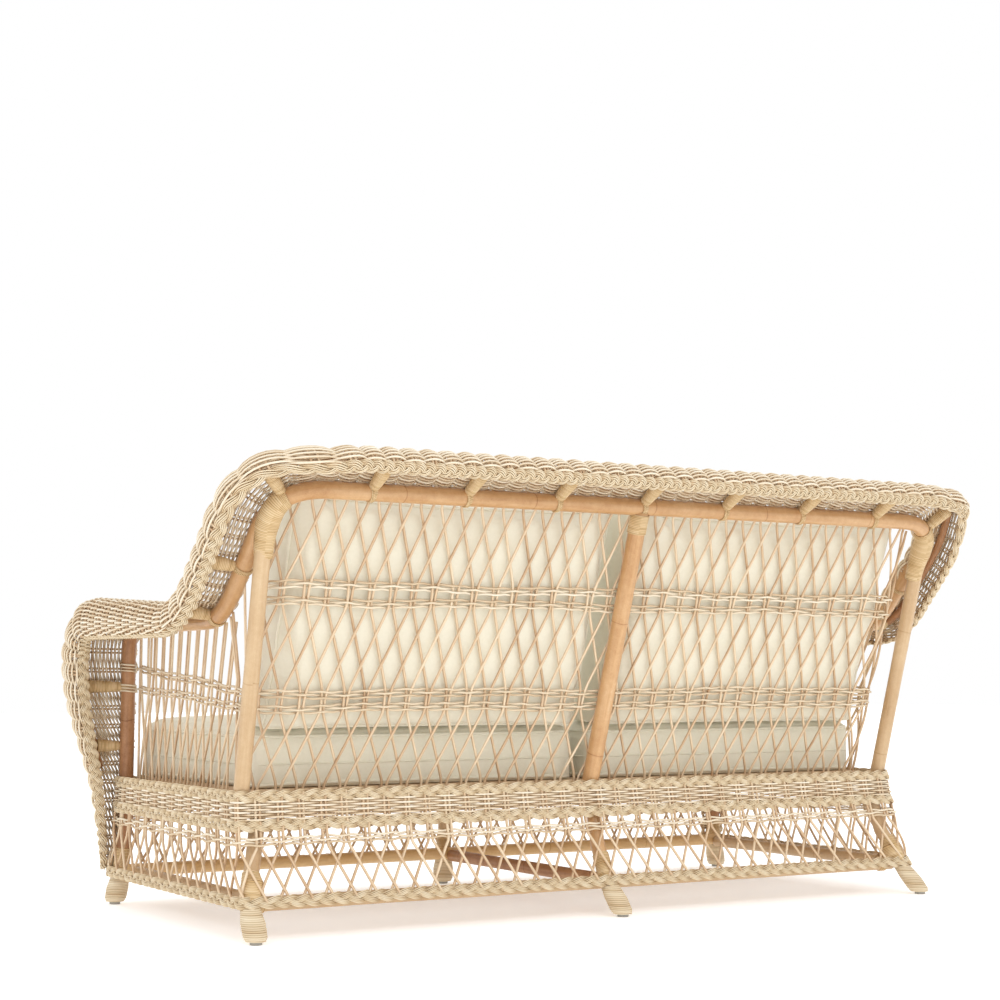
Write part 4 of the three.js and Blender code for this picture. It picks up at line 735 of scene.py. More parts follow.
def plaited(name, spot, length, pitch, reach, depth, closed, radius=1.4, step=3.3, canes=4):
    """A flat plait of three strands, each of a few canes laid side by side. spot(at, across, out) gives
    a point of it and the way out; at is measured along the plait."""
    count = max(int(round(length / step)), 8)
    at = np.arange(count + (0 if closed else 1)) * length / count
    repeats = max(int(round(length / (3 * pitch))), 1)
    paths, outs, tones, over_under_shades = [], [], [], []
    for strand in range(3):
        phase = 2 * np.pi * (at * repeats / length + strand / 3)
        slope = reach * np.cos(phase) * 2 * np.pi * repeats / length
        for cane in range(canes):
            side = (cane - (canes - 1) / 2) * radius * 1.8
            away = reach * np.sin(phase) + side * np.sqrt(1 + slope ** 2)
            lift = depth * np.sin(2 * phase) - side ** 2 * 0.08
            path, out = spot(at, away, lift)
            paths.append(path)
            outs.append(out)
            tones.append(0.42 + 0.08 * strand + chance.uniform(-0.08, 0.08))
            # Painted light and shade: lighter where the strand lies on top, darker where it dives under.
            over_under_shades.append(0.2 * np.sin(2 * phase))
    return strands(name, paths, radius, 5, outs, closed, tones, over_under_shades=over_under_shades)


def woven(name, lines, radius, look, *nodes, closed=False, over_under_shades=None):
    """Canes of the frame's weave. A line is a pair: the points of a cane, and the way out at each."""
    paths, outs = zip(*lines)
    piece = strands(name, paths, radius, 6, outs, closed, over_under_shades=over_under_shades)
    finished(piece, "frame", look, "woven_cane", *nodes)


BASE_PLAIT, BAND_ROWS = PITCH * 0.66, 8
BAND_INSET, BAND_WAVE = -4.0, 3.2
SKIRT_ROWS, SKIRT_INSET, SKIRT_WAVE = (165.0, 170.6, 176.2), -4.4, 3.8
SKIRT_SPLIT = 160.0      # where the spokes of a pair part


def make_base():
    """The woven band between two plaits, the skirt of spokes with its row, and the bottom plait."""
    for name, centre, nodes in (("upper_band_braid", BAND_TOP - BRAID / 2, ["woven_band"]),
                                ("lower_band_braid", BAND_LOW + BRAID / 2, []),
                                ("bottom_braid_plait", (BOTTOM_LOW + BOTTOM_TOP) / 2, ["bottom_braid"])):
        def spot(at, away, lift, centre=centre):
            return on_base(at, centre + away, lift - 2.5)
        plait = plaited(name, spot, AROUND, BASE_PLAIT, 6.4, 3.2, True)
        finished(plait, "frame", BRAIDED, "woven_cane", *nodes)
    at = np.arange(BASE_PAIRS * 6) / 6 * BASE_PITCH
    waves = [floats(at / BASE_PITCH + k) for k in range(BAND_ROWS)]
    heights = np.linspace(BAND_LOW + BRAID - 1, BAND_TOP - BRAID + 1, BAND_ROWS)
    lines = [on_base(at, z, BAND_INSET + BAND_WAVE * wave) for z, wave in zip(heights, waves)]
    # Painted light and shade: each weaver is lighter where it passes over a stake pair and darker where it
    # passes under.
    woven("band_weave", lines, 2.0, STRAW, closed=True, over_under_shades=[0.2 * wave for wave in waves])
    turns = np.pi * at / BASE_PITCH
    lines = []
    for k, z in enumerate(SKIRT_ROWS):
        depth = SKIRT_INSET + SKIRT_WAVE * np.sin(turns + k * np.pi)
        lines.append(on_base(at, z + 1.1 * np.cos(2 * turns + k), depth))
    woven("skirt_rows", lines, WEAVER, STRAW, closed=True)
    heights = np.concatenate([np.linspace(BAND_TOP - 4, 182, 5), np.linspace(177, BOTTOM_LOW + 5, 19)])
    share = np.clip((SKIRT_SPLIT - heights) / (SKIRT_SPLIT - BOTTOM_TOP), 0, 1.12)
    lines, sides = [], []
    for k in range(BASE_PAIRS):
        middle = (k + 0.5) * BASE_PITCH
        for way in (-1, 1):
            u = middle + way * (PAIR + BASE_PITCH * share) + chance.normal(0, 0.6)
            depth = -4.6 + way * 2.2 * np.clip(share * 5, 0, 1)
            lines.append(on_base(u, heights, depth - 1.2 * (share > 1)))
            sides.append((np.searchsorted(BASE_ENDS, middle, side="right") - 1) // 2)
    for part, number in (("rear", 0), ("front", 2), ("left", 3), ("right", 1)):
        chosen = [line for line, side in zip(lines, sides) if side == number]
        woven(f"{part}_skirt_spokes", chosen, SPOKE, SPOKES, f"skirt_lattice_{part}")


# Lattice of the back and sides, on one sheet that turns the rear corners
STRAIGHT = SHELL_HALF - SHELL_CORNER
ARC_END = STRAIGHT + SHELL_CORNER * np.pi / 2


def shell_back(z):
    """Where the back of the sheet stands at a height: it leans with the centre post."""
    return POST_FOOT - (CENTRE + 2.8) * math.hypot(1, LEAN) + LEAN * (np.asarray(z, float) - BAND_LINE)


def front_edge(z):
    """Where the sides of the sheet end at the front posts."""
    share = (np.asarray(z, float) - SHELL_LOW) / (ARM_LINE - SHELL_LOW)
    return mix(FRONT_Y, FRONT_CORNER[1], share) + POST


SIDE_LENGTH = float(shell_back(SHELL_LOW) - SHELL_CORNER - front_edge(SHELL_LOW))


def on_shell(u, z, out):
    """Points of the sheet, u millimetres from the middle of the back and moved out, with the way out."""
    u, z, out = (np.array(v, float) for v in np.broadcast_arrays(u, z, out))
    reach, side = np.abs(u), np.where(u < 0, -1.0, 1.0)
    turn = np.clip((reach - STRAIGHT) / SHELL_CORNER, 0, np.pi / 2)
    n = np.stack([side * np.sin(turn), np.cos(turn), np.zeros_like(turn)], 1)
    back = shell_back(z)
    x = side * (np.minimum(reach, STRAIGHT) + SHELL_CORNER * np.sin(turn))
    y = back - SHELL_CORNER + SHELL_CORNER * np.cos(turn)
    share = np.clip((reach - ARC_END) / SIDE_LENGTH, 0, 1.02)
    y = np.where(reach > ARC_END, mix(back - SHELL_CORNER, front_edge(z), share), y)
    return np.stack([x, y, z], 1) + n * out[:, None], n


def shell_top(u):
    """Height at which the spokes stop inside the hoop."""
    return np.interp(np.abs(u), [0, STRAIGHT, 700, 731, 763, 800, 822, 1300],
                     [803, 803, 790, 764, 640, 590, ARM_TOP, ARM_TOP])


def wander(u, row):
    """Rows laid by hand are never quite level."""
    return 2.0 * np.sin(u / 97.0 + row) + 1.2 * np.sin(u / 41.0 + 2 * row)


def row_rise(u, rise):
    """The low rows climb along the sides, toward the front posts."""
    return rise * np.clip((np.abs(u) - ARC_END) / SIDE_LENGTH, 0, 1)


def under_hoop(u):
    """Height and sideways reach where a side spoke meets the hoop; under the arm it stops inside the pole."""
    z = 600.0
    for k in range(6):
        y = float(on_shell([u], z, 0.0)[0][0, 1])
        z = float(np.interp(-y, -HOOP_HALF[:, 1], HOOP_HALF[:, 2])) - HOOP * 0.6
    x = float(np.interp(-y, -HOOP_HALF[:, 1], HOOP_HALF[:, 0]))
    return (z, x - SHELL_HALF - HOOP * 0.6) if z > ARM_TOP else (ARM_TOP, 0.0)


def spoke_path(stops, cut=True):
    """A spoke through (u, z, out) stops, straight between them with softened turns."""
    stops = np.array(stops, float)
    z = np.arange(stops[0, 1], stops[-1, 1] + 3, 8.0)
    u = np.interp(z, stops[:, 1], stops[:, 0])
    out = np.interp(z, stops[:, 1], stops[:, 2])
    kernel = np.array([1, 2, 1]) / 4
    smooth = np.convolve(np.pad(u, 1, mode="edge"), kernel, "valid")
    keep = z <= (shell_top(smooth) if cut else stops[-1, 1])
    return on_shell(smooth[keep], z[keep], out[keep]) if keep.sum() > 3 else None


TIE = 8                  # from a double row to where the spokes turn
CROSSING = 2.3           # how far two crossing spokes stand apart from the sheet
TOP_SWING, TOP_TURN, TOP_END = 53.75, 764, 800   # how the spokes part under the hoop
BACK_PAIRS = 36          # more than the back holds; those past its ends are left out
SIDE_PAIRS, SIDE_PAIR, SIDE_CROSSING = 13, 3.6, 2.6
ROW_GRAIN, ROW_SWAY, ROW_WAVE = 7.2, 0.9, 4.4
LATTICE_REACH = ARC_END + SIDE_LENGTH


def make_back_spokes():
    """Paired spokes cross between the rows, and again under the hoop."""
    travel, last = 1.5 * PITCH - 2 * PAIR, TOP_SWING - PAIR
    lines = []
    for i in range(-BACK_PAIRS // 2, BACK_PAIRS // 2):
        for way in (-1, 1):
            slip = chance.normal(0, 0.9, 4)
            x = (i + 0.5) * PITCH + way * PAIR
            if abs(x) > ARC_END - 8:
                continue
            over = -way * CROSSING
            foot, middle, top = x + slip[0], x + way * travel + slip[1], x + slip[2]
            lines.append(spoke_path([(foot, SHELL_LOW, over), (foot, BAND_LINE + 4, over),
                                     (middle, ROWS_LOW[0] - TIE, over), (middle, ROWS_LOW[1] + TIE, -over),
                                     (top, ROWS_HIGH[0] - TIE, -over), (top, ROWS_HIGH[1] + TIE, over),
                                     (x + way * last + slip[3], TOP_TURN, over),
                                     (x + way * (last + 8) + slip[3], TOP_END, 6)]))
    woven("back_spokes", [line for line in lines if line], SPOKE, SPOKES, "back_lattice")


def make_side_spokes(hand, turned):
    """Paired spokes that cross once, and one straight stake against the front post."""
    pitch = SIDE_LENGTH / SIDE_PAIRS
    lines = []
    for i in range(-1, SIDE_PAIRS + 1):
        for way in (-1, 1):
            x = min(ARC_END + (i + 0.5) * pitch, LATTICE_REACH - 3) + chance.normal(0, 0.7)
            swing = way * 1.5 * pitch
            rise = row_rise(x + swing, ROWS_RISE[0])
            foot, top = x + way * SIDE_PAIR, x + swing - way * SIDE_PAIR
            if not ARC_END - 12 < top < LATTICE_REACH + 6:
                continue
            end, lean = under_hoop(max(top, ARC_END))
            over = way * SIDE_CROSSING
            stops = [(foot, SHELL_LOW, over), (foot, BAND_LINE + 2, over),
                     (top, ROWS_LOW[0] - TIE + rise, -over), (top, ROWS_LOW[1] + TIE + rise + 14, 0),
                     (top, end, lean)]
            lines.append(spoke_path(np.array(stops) * turned, False))
    edge = LATTICE_REACH - 2
    lines.append(spoke_path(np.array([(edge, SHELL_LOW, 0), (edge, ARM_TOP, 0)]) * turned, False))
    woven(f"side_spokes_{hand}", [line for line in lines if line], SPOKE, SPOKES, f"side_lattice_{hand}")


def make_row_ends(hand, turned):
    """The low rows end in turns round the front post."""
    post = resampled([POST_AT_BAND, FRONT_CORNER], 1.0)
    turn = np.linspace(0, 2 * np.pi, 29)[:-1]
    ring = (POST + 1.6) * np.column_stack([np.cos(turn), np.sin(turn), 0.1 * np.cos(turn)])
    heights = [row + rise + k * ROW_STEP for row, rise in zip(ROWS_LOW, ROWS_RISE) for k in (-1, 0, 1)]
    cores = [post[int(np.argmin(np.abs(post[:, 2] - height)))] for height in heights]
    ends = strands(f"row_ends_{hand}", [(core + ring) * turned for core in cores], WEAVER * 0.8, closed=True)
    finished(ends, "frame", STRAW, "woven_cane")


def make_rows(name, at, rows, rises, wave):
    """Double rows of three strands that tie the spokes."""
    turns = np.pi * at / PITCH
    lines = []
    for row, rise in zip(rows, rises):
        for k in range(3):
            z = row + (k - 1) * ROW_STEP + wander(at, row) + row_rise(at, rise)
            z = z + ROW_SWAY * np.cos(2 * turns + 2.5 * k)
            lines.append(on_shell(at, z, ROW_WAVE * wave(turns + k * np.pi)))
    woven(name, lines, WEAVER, STRAW)


def make_lattice():
    make_back_spokes()
    for hand, way in HANDS:
        make_side_spokes(hand, (way, 1, 1))
        make_row_ends(hand, (way, 1, 1))
    low, high = LATTICE_REACH - 2, ARC_END + 4
    make_rows("lower_rows", np.linspace(-low, low, int(2 * low / ROW_GRAIN)), ROWS_LOW, ROWS_RISE, np.cos)
    make_rows("upper_rows", np.linspace(-high, high, int(2 * ARC_END / ROW_GRAIN)), ROWS_HIGH, (0, 0), np.sin)


# Collar: a woven sheet that rises from the hoop, rolls over the rim pole and runs down the front posts
def collar_sections():
    """Places along half the hoop, each with how far out the collar reaches and the heights of its crest and
    its edge over the pole."""
    back, corner, slope = (115, 63, 27), (97, 53, 10), (95, 30, -22)
    arm_rear, arm_front = (102, 28, -24), (118, 50, -22)
    wing = [(505, 140, 46, -20), (420, 129, 42, -18), (315, 93, 33, -10), (262, 73, 27, -6),
            (170, 48, 20, -2), (68, 29, 13, 4)]
    places, sections = [MIDDLE], [back]

    def spread(points, a, b, skip=0):
        for k in range(skip, len(points)):
            places.append(points[k])
            sections.append(mix(np.array(a, float), np.array(b, float), k / (len(points) - 1)))
    half = len(back_bend) // 2
    spread(back_bend[:half + 1], back, corner)
    spread(back_bend[half:], corner, slope, 1)
    places.append(mix(back_bend[-1], arm_bend[0], 0.5))
    sections.append(slope)
    spread(arm_bend, slope, arm_rear)
    places.append(mix(arm_bend[-1], front_bend[0], 0.5))
    sections.append(mix(np.array(arm_rear, float), np.array(arm_front, float), 0.5))
    spread(front_bend, arm_front, wing[0][1:])
    knee = front_bend[-1]
    for z, *section in wing[1:]:
        if z > BAND_TOP:
            share = (z - BAND_TOP) / (knee[2] - BAND_TOP)
            places.append([FRONT_X, mix(-700, knee[1], share), z])
        else:
            share = (BAND_TOP - z) / (BAND_TOP - wing[-1][0])
            places.append([mix(FRONT_X, 757, share), mix(-700, BASE_FRONT, share), z])
        sections.append(section)
    return np.array(places, float), np.array(sections, float)


def smoothed(values, width):
    kernel = np.ones(width) / width
    out = np.empty_like(values)
    for k in range(values.shape[1]):
        padded = np.pad(values[:, k], width // 2, mode="edge")
        out[:, k] = np.convolve(padded, kernel, "valid")[:len(values)]
    return out


COLLAR_STEP = COLLAR_PITCH / 6
ACROSS = 96              # points from the hoop to the collar's edge


def collar_grid():
    """The collar's sheet as a grid of points, with its normals, its width at each place, half the hoop's line
    and half the rim pole's."""
    places, sections = collar_sections()
    along = distances(places)
    count = int(along[-1] / COLLAR_STEP)
    at = np.arange(count + 1) * COLLAR_STEP
    p = np.stack([np.interp(at, along, places[:, k]) for k in range(3)], 1)
    s = smoothed(np.stack([np.interp(at, along, sections[:, k]) for k in range(3)], 1), 11)
    first, last = back_bend[0][0], back_bend[-1][0]
    share = np.clip((p[:, 0] - first) / (last - first), 0, 1)
    share = smoothed(share[:, None], 9)[:, 0]
    t = unit(smoothed(np.gradient(p, axis=0), 5))
    n = unit(np.stack([share, 1 - share, np.zeros(len(share))], 1))
    n = unit(n - t * np.sum(n * t, axis=1, keepdims=True))
    u = np.cross(t, n)
    grid = np.zeros((len(at), ACROSS, 3))
    lengths = np.zeros(len(at))
    for m in range(len(at)):
        w, c, e = s[m]
        curl = mix(0.86, 0.70, share[m])
        line = np.array([[-HOOP - 3, -2], [-0.13 * w, 15], [0, 20.5], [0.26 * w, max(0.62 * c, 20)],
                         [0.52 * w, max(0.9 * c, 20)], [0.74 * w, c], [0.91 * w, 0.86 * c],
                         [w, mix(0.86 * c, e, 0.5)], [0.99 * w, mix(0.86 * c, e, 0.85)],
                         [mix(curl, 1, 0.55) * w, e - 1], [curl * w, e]])
        knots = distances(np.column_stack([line, np.zeros(len(line))]))
        fine = np.linspace(0, knots[-1], 150)
        line = smoothed(np.stack([np.interp(fine, knots, line[:, k]) for k in (0, 1)], 1), 13)
        reach = distances(np.column_stack([line, np.zeros(len(line))]))
        lengths[m] = reach[-1]
        q = np.linspace(0, reach[-1], ACROSS)
        a, b = np.interp(q, reach, line[:, 0]), np.interp(q, reach, line[:, 1])
        grid[m] = p[m] + a[:, None] * n[m] + b[:, None] * u[m]
    grid = np.concatenate([mirrored(grid)[:0:-1], grid])
    lengths = smoothed(np.concatenate([lengths[:0:-1], lengths])[:, None], 15)[:, 0]
    at = np.concatenate([-at[:0:-1], at])
    down, side = np.gradient(grid, axis=1), np.gradient(grid, axis=0)
    normals = unit(np.cross(side, down))
    rim = p + n * (s[:, :1] * 0.66) + u * (s[:, 1:2] - 16)
    return at, grid, normals, lengths, p, rim


def at_grid(values, m, q):
    """Value of the grid at row numbers m and column numbers q, with fractions."""
    m = np.clip(m, 0, values.shape[0] - 1.001)
    q = np.clip(q, 0, values.shape[1] - 1.001)
    i, j = m.astype(int), q.astype(int)
    fm, fq = (m - i)[:, None], (q - j)[:, None]
    return mix(mix(values[i, j], values[i + 1, j], fm), mix(values[i, j + 1], values[i + 1, j + 1], fm), fq)


COLLAR_BRAID, PLAIT_LINE, RIM_END = 25.0, 13.0, 275
COLLAR_ROWS, COLLAR_ROW_STEP, PART_ROWS = 90, 3.8, 18
WAVE_PLACES, WAVE_DEPTHS = (600, 750), (7.2, 5.5)


def make_collar():
    """Weavers over and under the ribs, in three pieces from the edge inwards, with a plait along the edge."""
    at, grid, normals, lengths, hoop_line, rim_line = collar_grid()
    if normals[len(at) // 2, 20][2] < 0:
        normals = -normals
    numbers = np.arange(len(at), dtype=float)

    def on_sheet(m, from_edge, out):
        length = np.interp(m, numbers, lengths)
        q = (1 - from_edge / length) * (ACROSS - 1)
        n = unit(at_grid(normals, m, q))
        return at_grid(grid, m, q) + n * np.broadcast_to(out, len(m))[:, None], n

    parts = {"rolled": [], "crest": [], "inner": []}
    for k in range(COLLAR_ROWS):
        far = COLLAR_BRAID + k * COLLAR_ROW_STEP
        inside = far < lengths - 1
        runs = np.flatnonzero(np.diff(np.concatenate([[0], inside.astype(int), [0]])))
        for a, b in zip(runs[::2], runs[1::2]):
            if b - a < 8:
                continue
            wave = floats(at[a:b] / COLLAR_PITCH + k, 1.0)
            depth = np.interp(np.abs(at[a:b]), WAVE_PLACES, WAVE_DEPTHS)
            p, n = on_sheet(numbers[a:b], np.full(b - a, far), wave * depth)
            # Painted light and shade: lighter where the weaver lies over a rib, darker where it dives under.
            parts[list(parts)[min(k // PART_ROWS, 2)]].append((p, n, 0.14 * wave))
    for part, lines in parts.items():
        paths, outs, over_under_shades = zip(*lines)
        piece = strands(f"collar_{part}_weave", paths, 2.05, 5, outs, over_under_shades=over_under_shades)
        finished(piece, "frame", STRAW, "woven_cane", *(["woven_collar"] if part == "rolled" else []))
    ribs = []
    first = math.ceil(at[0] / COLLAR_PITCH) - 0.5
    for j in range(int((at[-1] - at[0]) / COLLAR_PITCH) + 1):
        for side in (-1, 1):
            place = (first + j) * COLLAR_PITCH + side * 3.2
            if at[0] < place < at[-1]:
                m = np.full(24, (place - at[0]) / COLLAR_STEP)
                ribs.append(on_sheet(m, np.linspace(np.interp(m[0], numbers, lengths), 6, 24), 0.0))
    paths, outs = zip(*ribs)
    finished(strands("collar_ribs", paths, 2.3, 5, outs), "frame", SPOKES, "woven_cane")

    def spot(where, away, lift):
        return on_sheet(where / COLLAR_STEP, PLAIT_LINE + away, lift + 3.0)
    plait = plaited("collar_edge_braid", spot, (len(at) - 1) * COLLAR_STEP, 20.0, 7.0, 2.8, False)
    finished(plait, "frame", BRAIDED, "woven_cane")
    rim = both_ways(rim_line[hoop_line[:, 2] > RIM_END])
    pole("rim_pole_bent", rim, RIM, BARK, "bark_pole", ["rim_pole"])
    return hoop_line, rim_line


BRACKET_PITCH = 193.0
POST_START = 570         # under this height the hoop has become the front post


def make_brackets(hoop_line, rim_line):
    """Wound stubs from the pole to the rim, with a strap of cane over the pole."""
    stubs = []
    for i in range(7):
        start = MIDDLE + ((i - 3) * BRACKET_PITCH, 0, 0)
        end = start + (rim_line[0] - hoop_line[0])
        stubs.append((f"bound_bracket_{i + 1}", start, end, f"top_bracket_{i + 1}"))
    marks = {"corner": back_bend[len(back_bend) // 2], "arm": arm_bend[int(round(len(arm_bend) * 0.58))]}
    spots = {name: int(np.argmin(np.linalg.norm(hoop_line - mark, axis=1))) for name, mark in marks.items()}
    for name, z in (("slope", 652), ("wing_upper", 440), ("wing_lower", 322)):
        spots[name] = int(np.argmin(np.abs(hoop_line[:, 2] - z)))
    for name, k in spots.items():
        kind, *level = name.split("_")
        for hand, way in HANDS:
            turned = (way, 1, 1)
            node = "_".join([kind, "bracket", *level, hand])
            stubs.append((f"bound_{name}_bracket_{hand}", hoop_line[k] * turned, rim_line[k] * turned, node))
    straps, outs = [], []
    turn = np.linspace(0, 2 * np.pi, 33)[:, None]
    for name, start, end, node in stubs:
        axis = unit(end - start)
        length = np.linalg.norm(end - start)
        core = HOOP if start[2] > POST_START else POST
        near = core - 3
        reach = np.array([near, near + 8, mix(near, length, 0.45), length - RIM + 1, length - RIM + 3])
        winding(name, start + axis * reach[:, None], [8.6, 10.2, 11.8, 13.6, 12.8], depth=0.8, nodes=[node])
        turned = (np.sign(start[0]) or 1, 1, 1)
        k = int(np.argmin(np.linalg.norm(hoop_line * turned - start, axis=1)))
        line = unit(hoop_line[min(k + 1, len(hoop_line) - 1)] - hoop_line[max(k - 1, 0)]) * turned
        if abs(start[2] - HOOP_TOP) < 1:
            line = np.array([1.0, 0, 0])
        side = unit(np.cross(line, axis))
        for cane in np.linspace(-1, 1, 5):
            lean = 5.5 * cane * (1 - 0.55 * np.abs(np.sin(turn / 2)))
            ring = start + (core + 1.1) * (np.cos(turn) * axis + np.sin(turn) * side) + line * lean
            straps.append(ring[:-1])
            outs.append(ring[:-1] - start)
    piece = strands("bracket_straps", straps, 1.35, 5, outs, True)
    finished(piece, "frame", WRAP, "cane_wrap")


def make_bindings():
    """Cane wound over the joints of the posts with the hoop."""
    up = unit(MIDDLE - (0, POST_FOOT, BAND_LINE))
    radius = CENTRE + 1.6
    winding("centre_binding", [MIDDLE + up * along for along in (-52, -51, -14)],
            [radius - 1.4, radius, radius + 0.4], depth=0.8)
    half = len(back_bend) // 2
    path = np.vstack([[753.4, -6.5, 664], [755.2, 0.5, 690], [756.5, 9.0, 714], [756, 21, 735],
                      [750, 36, 755], back_bend[half + 1], back_bend[half], back_bend[half - 1]])
    knots = distances(path)
    fine = np.linspace(0, knots[-1], 120)
    curve = smoothed(np.stack([np.interp(fine, knots, path[:, k]) for k in range(3)], 1), 25)
    share = np.linspace(0, 1, len(curve))
    radii = np.interp(share, [0, 0.03, 0.3, 0.5, 0.68, 0.97, 1], [14, 16.6, 18.6, 21.6, 21, 18.6, 15.6])
    radii = smoothed(radii[:, None], 9)[:, 0]
    for hand, way in HANDS:
        winding(f"corner_binding_{hand}", curve * (way, 1, 1), radii, depth=0.9, sides=28)


# Cushions: the numbers that shape a pad are in metres
VOXEL, EDGES = 0.0085, {"seat": 0.015, "back": 0.022}
SEAM_LIFT, PAD_LIFT, PIPING_LIFT = 0.0009, 0.0004, 0.003
SAG, WEIGHT, PINCH, WAIST = 0.004, 0.010, 0.026, 0.006
SEAM_CORNER, SEAM_POINTS = 24.0, 260
FILL_FRAMES = 20
FILLING = {"use_pressure": True, "uniform_pressure_force": 4.0, "tension_stiffness": 12,
           "bending_stiffness": 2.0, "shrink_min": -0.02}


def simulate(pad, start, cap):
    """Fills the cover with air for a few frames, then limits how far any point has moved."""
    cloth = pad.modifiers.new("fill", "CLOTH")
    for key, value in FILLING.items():
        setattr(cloth.settings, key, value)
    cloth.settings.effector_weights.gravity = 0
    cloth.point_cache.frame_start, cloth.point_cache.frame_end = 1, FILL_FRAMES
    for number in range(1, FILL_FRAMES + 1):
        bpy.context.scene.frame_set(number)
    moved = mesh_points(pad.evaluated_get(bpy.context.evaluated_depsgraph_get()).data)
    pad.modifiers.remove(cloth)
    bpy.context.scene.frame_set(1)
    shift = moved - start
    size = np.linalg.norm(shift, axis=1, keepdims=True)
    return start + shift * np.minimum(1, cap * MM / np.maximum(size, 1e-9))


def make_pad(kind, size, crown, cap):
    """A boxed cushion: a block with rounded corners, crowned, remeshed and filled."""
    width, depth, height = (v * MM for v in size)
    bpy.ops.mesh.primitive_cube_add(size=1, location=(0, 0, 0))
    pad = bpy.context.object
    pad.name = f"{kind}_pad"
    pad.scale = (width, depth, height)
    bpy.ops.object.transform_apply(location=True, rotation=True, scale=True)
    round_edges(EDGES[kind], 4)
    remesh = pad.modifiers.new("even", "REMESH")
    remesh.mode, remesh.voxel_size = "VOXEL", VOXEL
    bpy.ops.object.modifier_apply(modifier="even")
    co = mesh_points(pad.data).astype(float)
    sx, sy = np.clip(co[:, 0] / width * 2, -1, 1), np.clip(co[:, 1] / depth * 2, -1, 1)
    swell = np.maximum((1 - sx ** 2) * (1 - sy ** 2), 0) ** 0.45
    sag = SAG * np.sin(co[:, 0] * 23 + 1.0) * np.sin(co[:, 1] * 19 + 0.6)
    rise = crown * MM * swell * np.clip(np.abs(co[:, 2]) / (height / 2), 0, 1) ** 2
    co[:, 2] += np.sign(co[:, 2]) * rise
    co[:, 2] += sag * swell
    if kind == "seat":
        co[:, 2] += np.sign(co[:, 2]) * WEIGHT * swell * np.clip(-sy, 0, 1)
    else:
        ends = np.clip((np.abs(sx) - 0.84) / 0.16, 0, 1) ** 1.5
        co[:, 2] -= np.clip(co[:, 2] / (height / 2), 0, 1) * PINCH * ends
    co[:, 0] -= np.sign(sx) * WAIST * (1 - sy ** 2) * np.abs(sx)
    co[:, 1] -= np.sign(sy) * WAIST * (1 - sx ** 2) * np.abs(sy)
    move_points(pad.data, co)
    co = simulate(pad, co, cap)
    if kind == "seat":
        co[:, 2] = -rested(-co[:, 2], SEAT_REST * MM, 0.004)
    else:
        co[:, 2] = rested(co[:, 2], BACK_REST * MM, 0.012)
        low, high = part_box("back_cushion_left")
        seat = (SEAT_TOP - BACK_LIFT) * MM - (low.z + high.z) / 2
        limit = -(seat + co[:, 2] * math.sin(BACK_LEAN)) / math.cos(BACK_LEAN)
        co[:, 1] = -rested(-co[:, 1], limit, 0.010)
    move_points(pad.data, co)
    finer = pad.modifiers.new("finer", "SUBSURF")
    finer.levels = finer.render_levels = 1
    bpy.ops.object.modifier_apply(modifier="finer")
    bpy.ops.object.shade_smooth()
    return pad


def rested(height, limit, soft):
    """Heights pressed flat against a surface at the limit, with a soft start."""
    over = np.maximum(height - (limit - soft), 0) / soft
    return np.minimum(height, limit - soft) + soft * (1 - np.exp(-over))


def laid_on(points, tree, lift):
    """Points raised until they lie on the surface under them."""
    for k in np.flatnonzero(points[:, 2] < LOW_PART * MM):
        hit = tree.ray_cast(Vector((points[k, 0], points[k, 1], 1.0)), Vector((0, 0, -1)))[0]
        if hit:
            points[k, 2] = max(points[k, 2], hit.z + lift)
    return points


def hugging(pad, loop, lift):
    """The loop drawn onto the pad's surface, then eased."""
    tree = surface_tree(pad.data)
    points = []
    for point in loop:
        near, normal = tree.find_nearest(Vector(point))[:2]
        points.append(near + normal * lift)
    points = np.array([p[:] for p in points])
    for k in range(3):
        points = (np.roll(points, 1, 0) + 2 * points + np.roll(points, -1, 0)) / 4
    return points


def piping_loops(size, levels):
    """Outlines of a cushion where its seams run, at heights from its middle."""
    shares = np.linspace(0, 1, SEAM_POINTS, endpoint=False)
    flat = rounded_loop(shares, size[0] / 2, size[1] / 2, -size[1] / 2, SEAM_CORNER) * MM
    return [np.column_stack([flat, np.full(len(flat), level * MM)]) for level in levels]


# In millimetres: size, crown, farthest move while it fills, heights of the seams, radii of their piping
CUSHIONS = (("seat", SEAT_SIZE, 13, 10, (52, -4, -44), (3.3, 1.5, 3.2)),
            ("back", BACK_SIZE, 16, 14, (58, -58), (3.2, 3.2)))


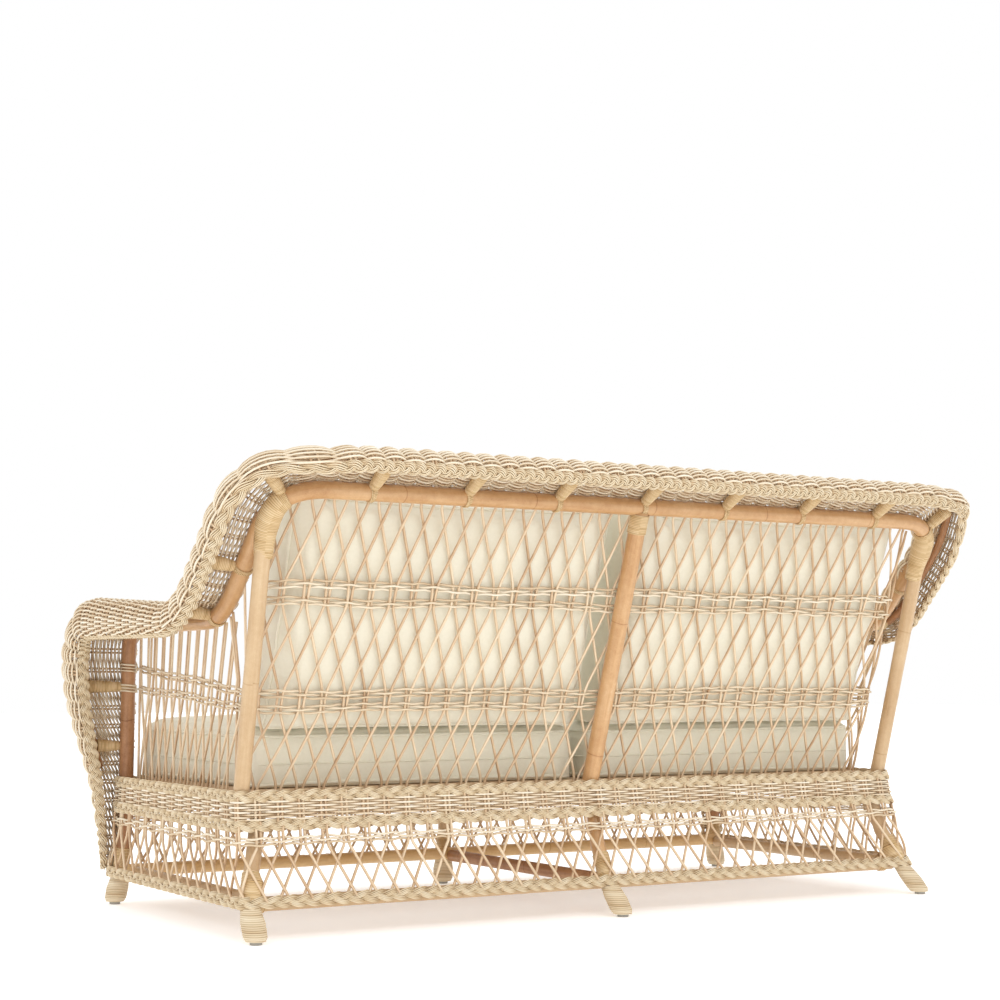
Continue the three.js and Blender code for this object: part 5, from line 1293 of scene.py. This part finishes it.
def make_cushions():
    """Each kind is shaped once, then placed on both sides. A back pad is laid on the seat pad under it."""
    seats = {}
    for kind, size, crown, cap, levels, radii in CUSHIONS:
        pad = make_pad(kind, size, crown, cap)
        loops = [hugging(pad, loop, SEAM_LIFT) for loop in piping_loops(size, levels)]
        low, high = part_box(f"{kind}_cushion_left")
        centre = (low + high) / 2
        if kind == "seat":
            place = np.eye(3)
            shift = np.array([centre.x, centre.y, low.z + (SEAT_REST - 3) * MM])
        else:
            sine, cosine = math.sin(BACK_LEAN), math.cos(BACK_LEAN)
            place = np.array([[1, 0, 0], [0, sine, cosine], [0, cosine, -sine]])
            shift = np.array(centre) + (0.010, 0.0007, BACK_LIFT * MM)
        for hand, way in HANDS:
            cushion = copied(pad, f"{kind}_pad_{hand}")
            co = (mesh_points(cushion.data) @ place + shift) * (way, 1, 1)
            if kind == "back":
                co = laid_on(co, seats[hand], PAD_LIFT)
            if (np.linalg.det(place) < 0) != (way < 0):
                cushion.data.flip_normals()
            move_points(cushion.data, co)
            if kind == "seat":
                seats[hand] = surface_tree(cushion.data)
            body = f"{kind}_cushion_{hand}"
            finished(cushion, BODIES[body], COVER, "cushion_cover", body)
            seams = [(loop @ place + shift) * (way, 1, 1) for loop in loops]
            if kind == "back":
                seams = [laid_on(seam, seats[hand], PIPING_LIFT) for seam in seams]
            seams = [(seam - (0, REAR_FEET, 0)) / MM for seam in seams]
            piping = strands(f"{kind}_piping_{hand}", seams, [np.full(len(seams[0]), r) for r in radii], 8,
                             closed=True)
            finished(piping, BODIES[body], COVER, "cushion_cover")
        bpy.data.objects.remove(pad)


BODIES = {node: body for body, nodes in frame["record"]["behaviour"]["bodies"].items() for node in nodes}

add_camera()
make_poles()
make_deck()
make_glides()
make_base()
make_lattice()
make_brackets(*make_collar())
make_bindings()
make_cushions()

# Floor, light and colours of the view
bpy.ops.mesh.primitive_plane_add(size=40, location=(0, 0, 0))
floor = bpy.context.object
floor.name = "floor"
floor.data.materials.append(bpy.data.materials.new("pale_floor"))
floor.data.materials[0].use_nodes = True
paint = floor.data.materials[0].node_tree.nodes["Principled BSDF"].inputs
paint["Base Color"].default_value = colour("fdfdfd")
paint["Roughness"].default_value = 1.0
# The floor glows a little: painted light that pales the sofa's shadow on it and lights the sofa from below.
paint["Emission Color"].default_value = colour("ffffff")
paint["Emission Strength"].default_value = 0.35
add_softbox("rear_softbox", (0.2, 4.6, 2.9), (0, 0, 0.5), 2.2, 35)
add_softbox("overhead_softbox", (0.6, 0.4, 3.4), (0, 0, 0.4), 3.0, 10)
add_softbox("side_softbox", (4.2, 0.6, 2.0), (0, 0, 0.5), 2.0, 9)
world = bpy.context.scene.world or bpy.data.worlds.new("studio")
bpy.context.scene.world = world
world.use_nodes = True
world.node_tree.nodes["Background"].inputs["Color"].default_value = (1, 1, 1, 1)
world.node_tree.nodes["Background"].inputs["Strength"].default_value = 1.0
bpy.context.scene.view_settings.view_transform = "Standard"
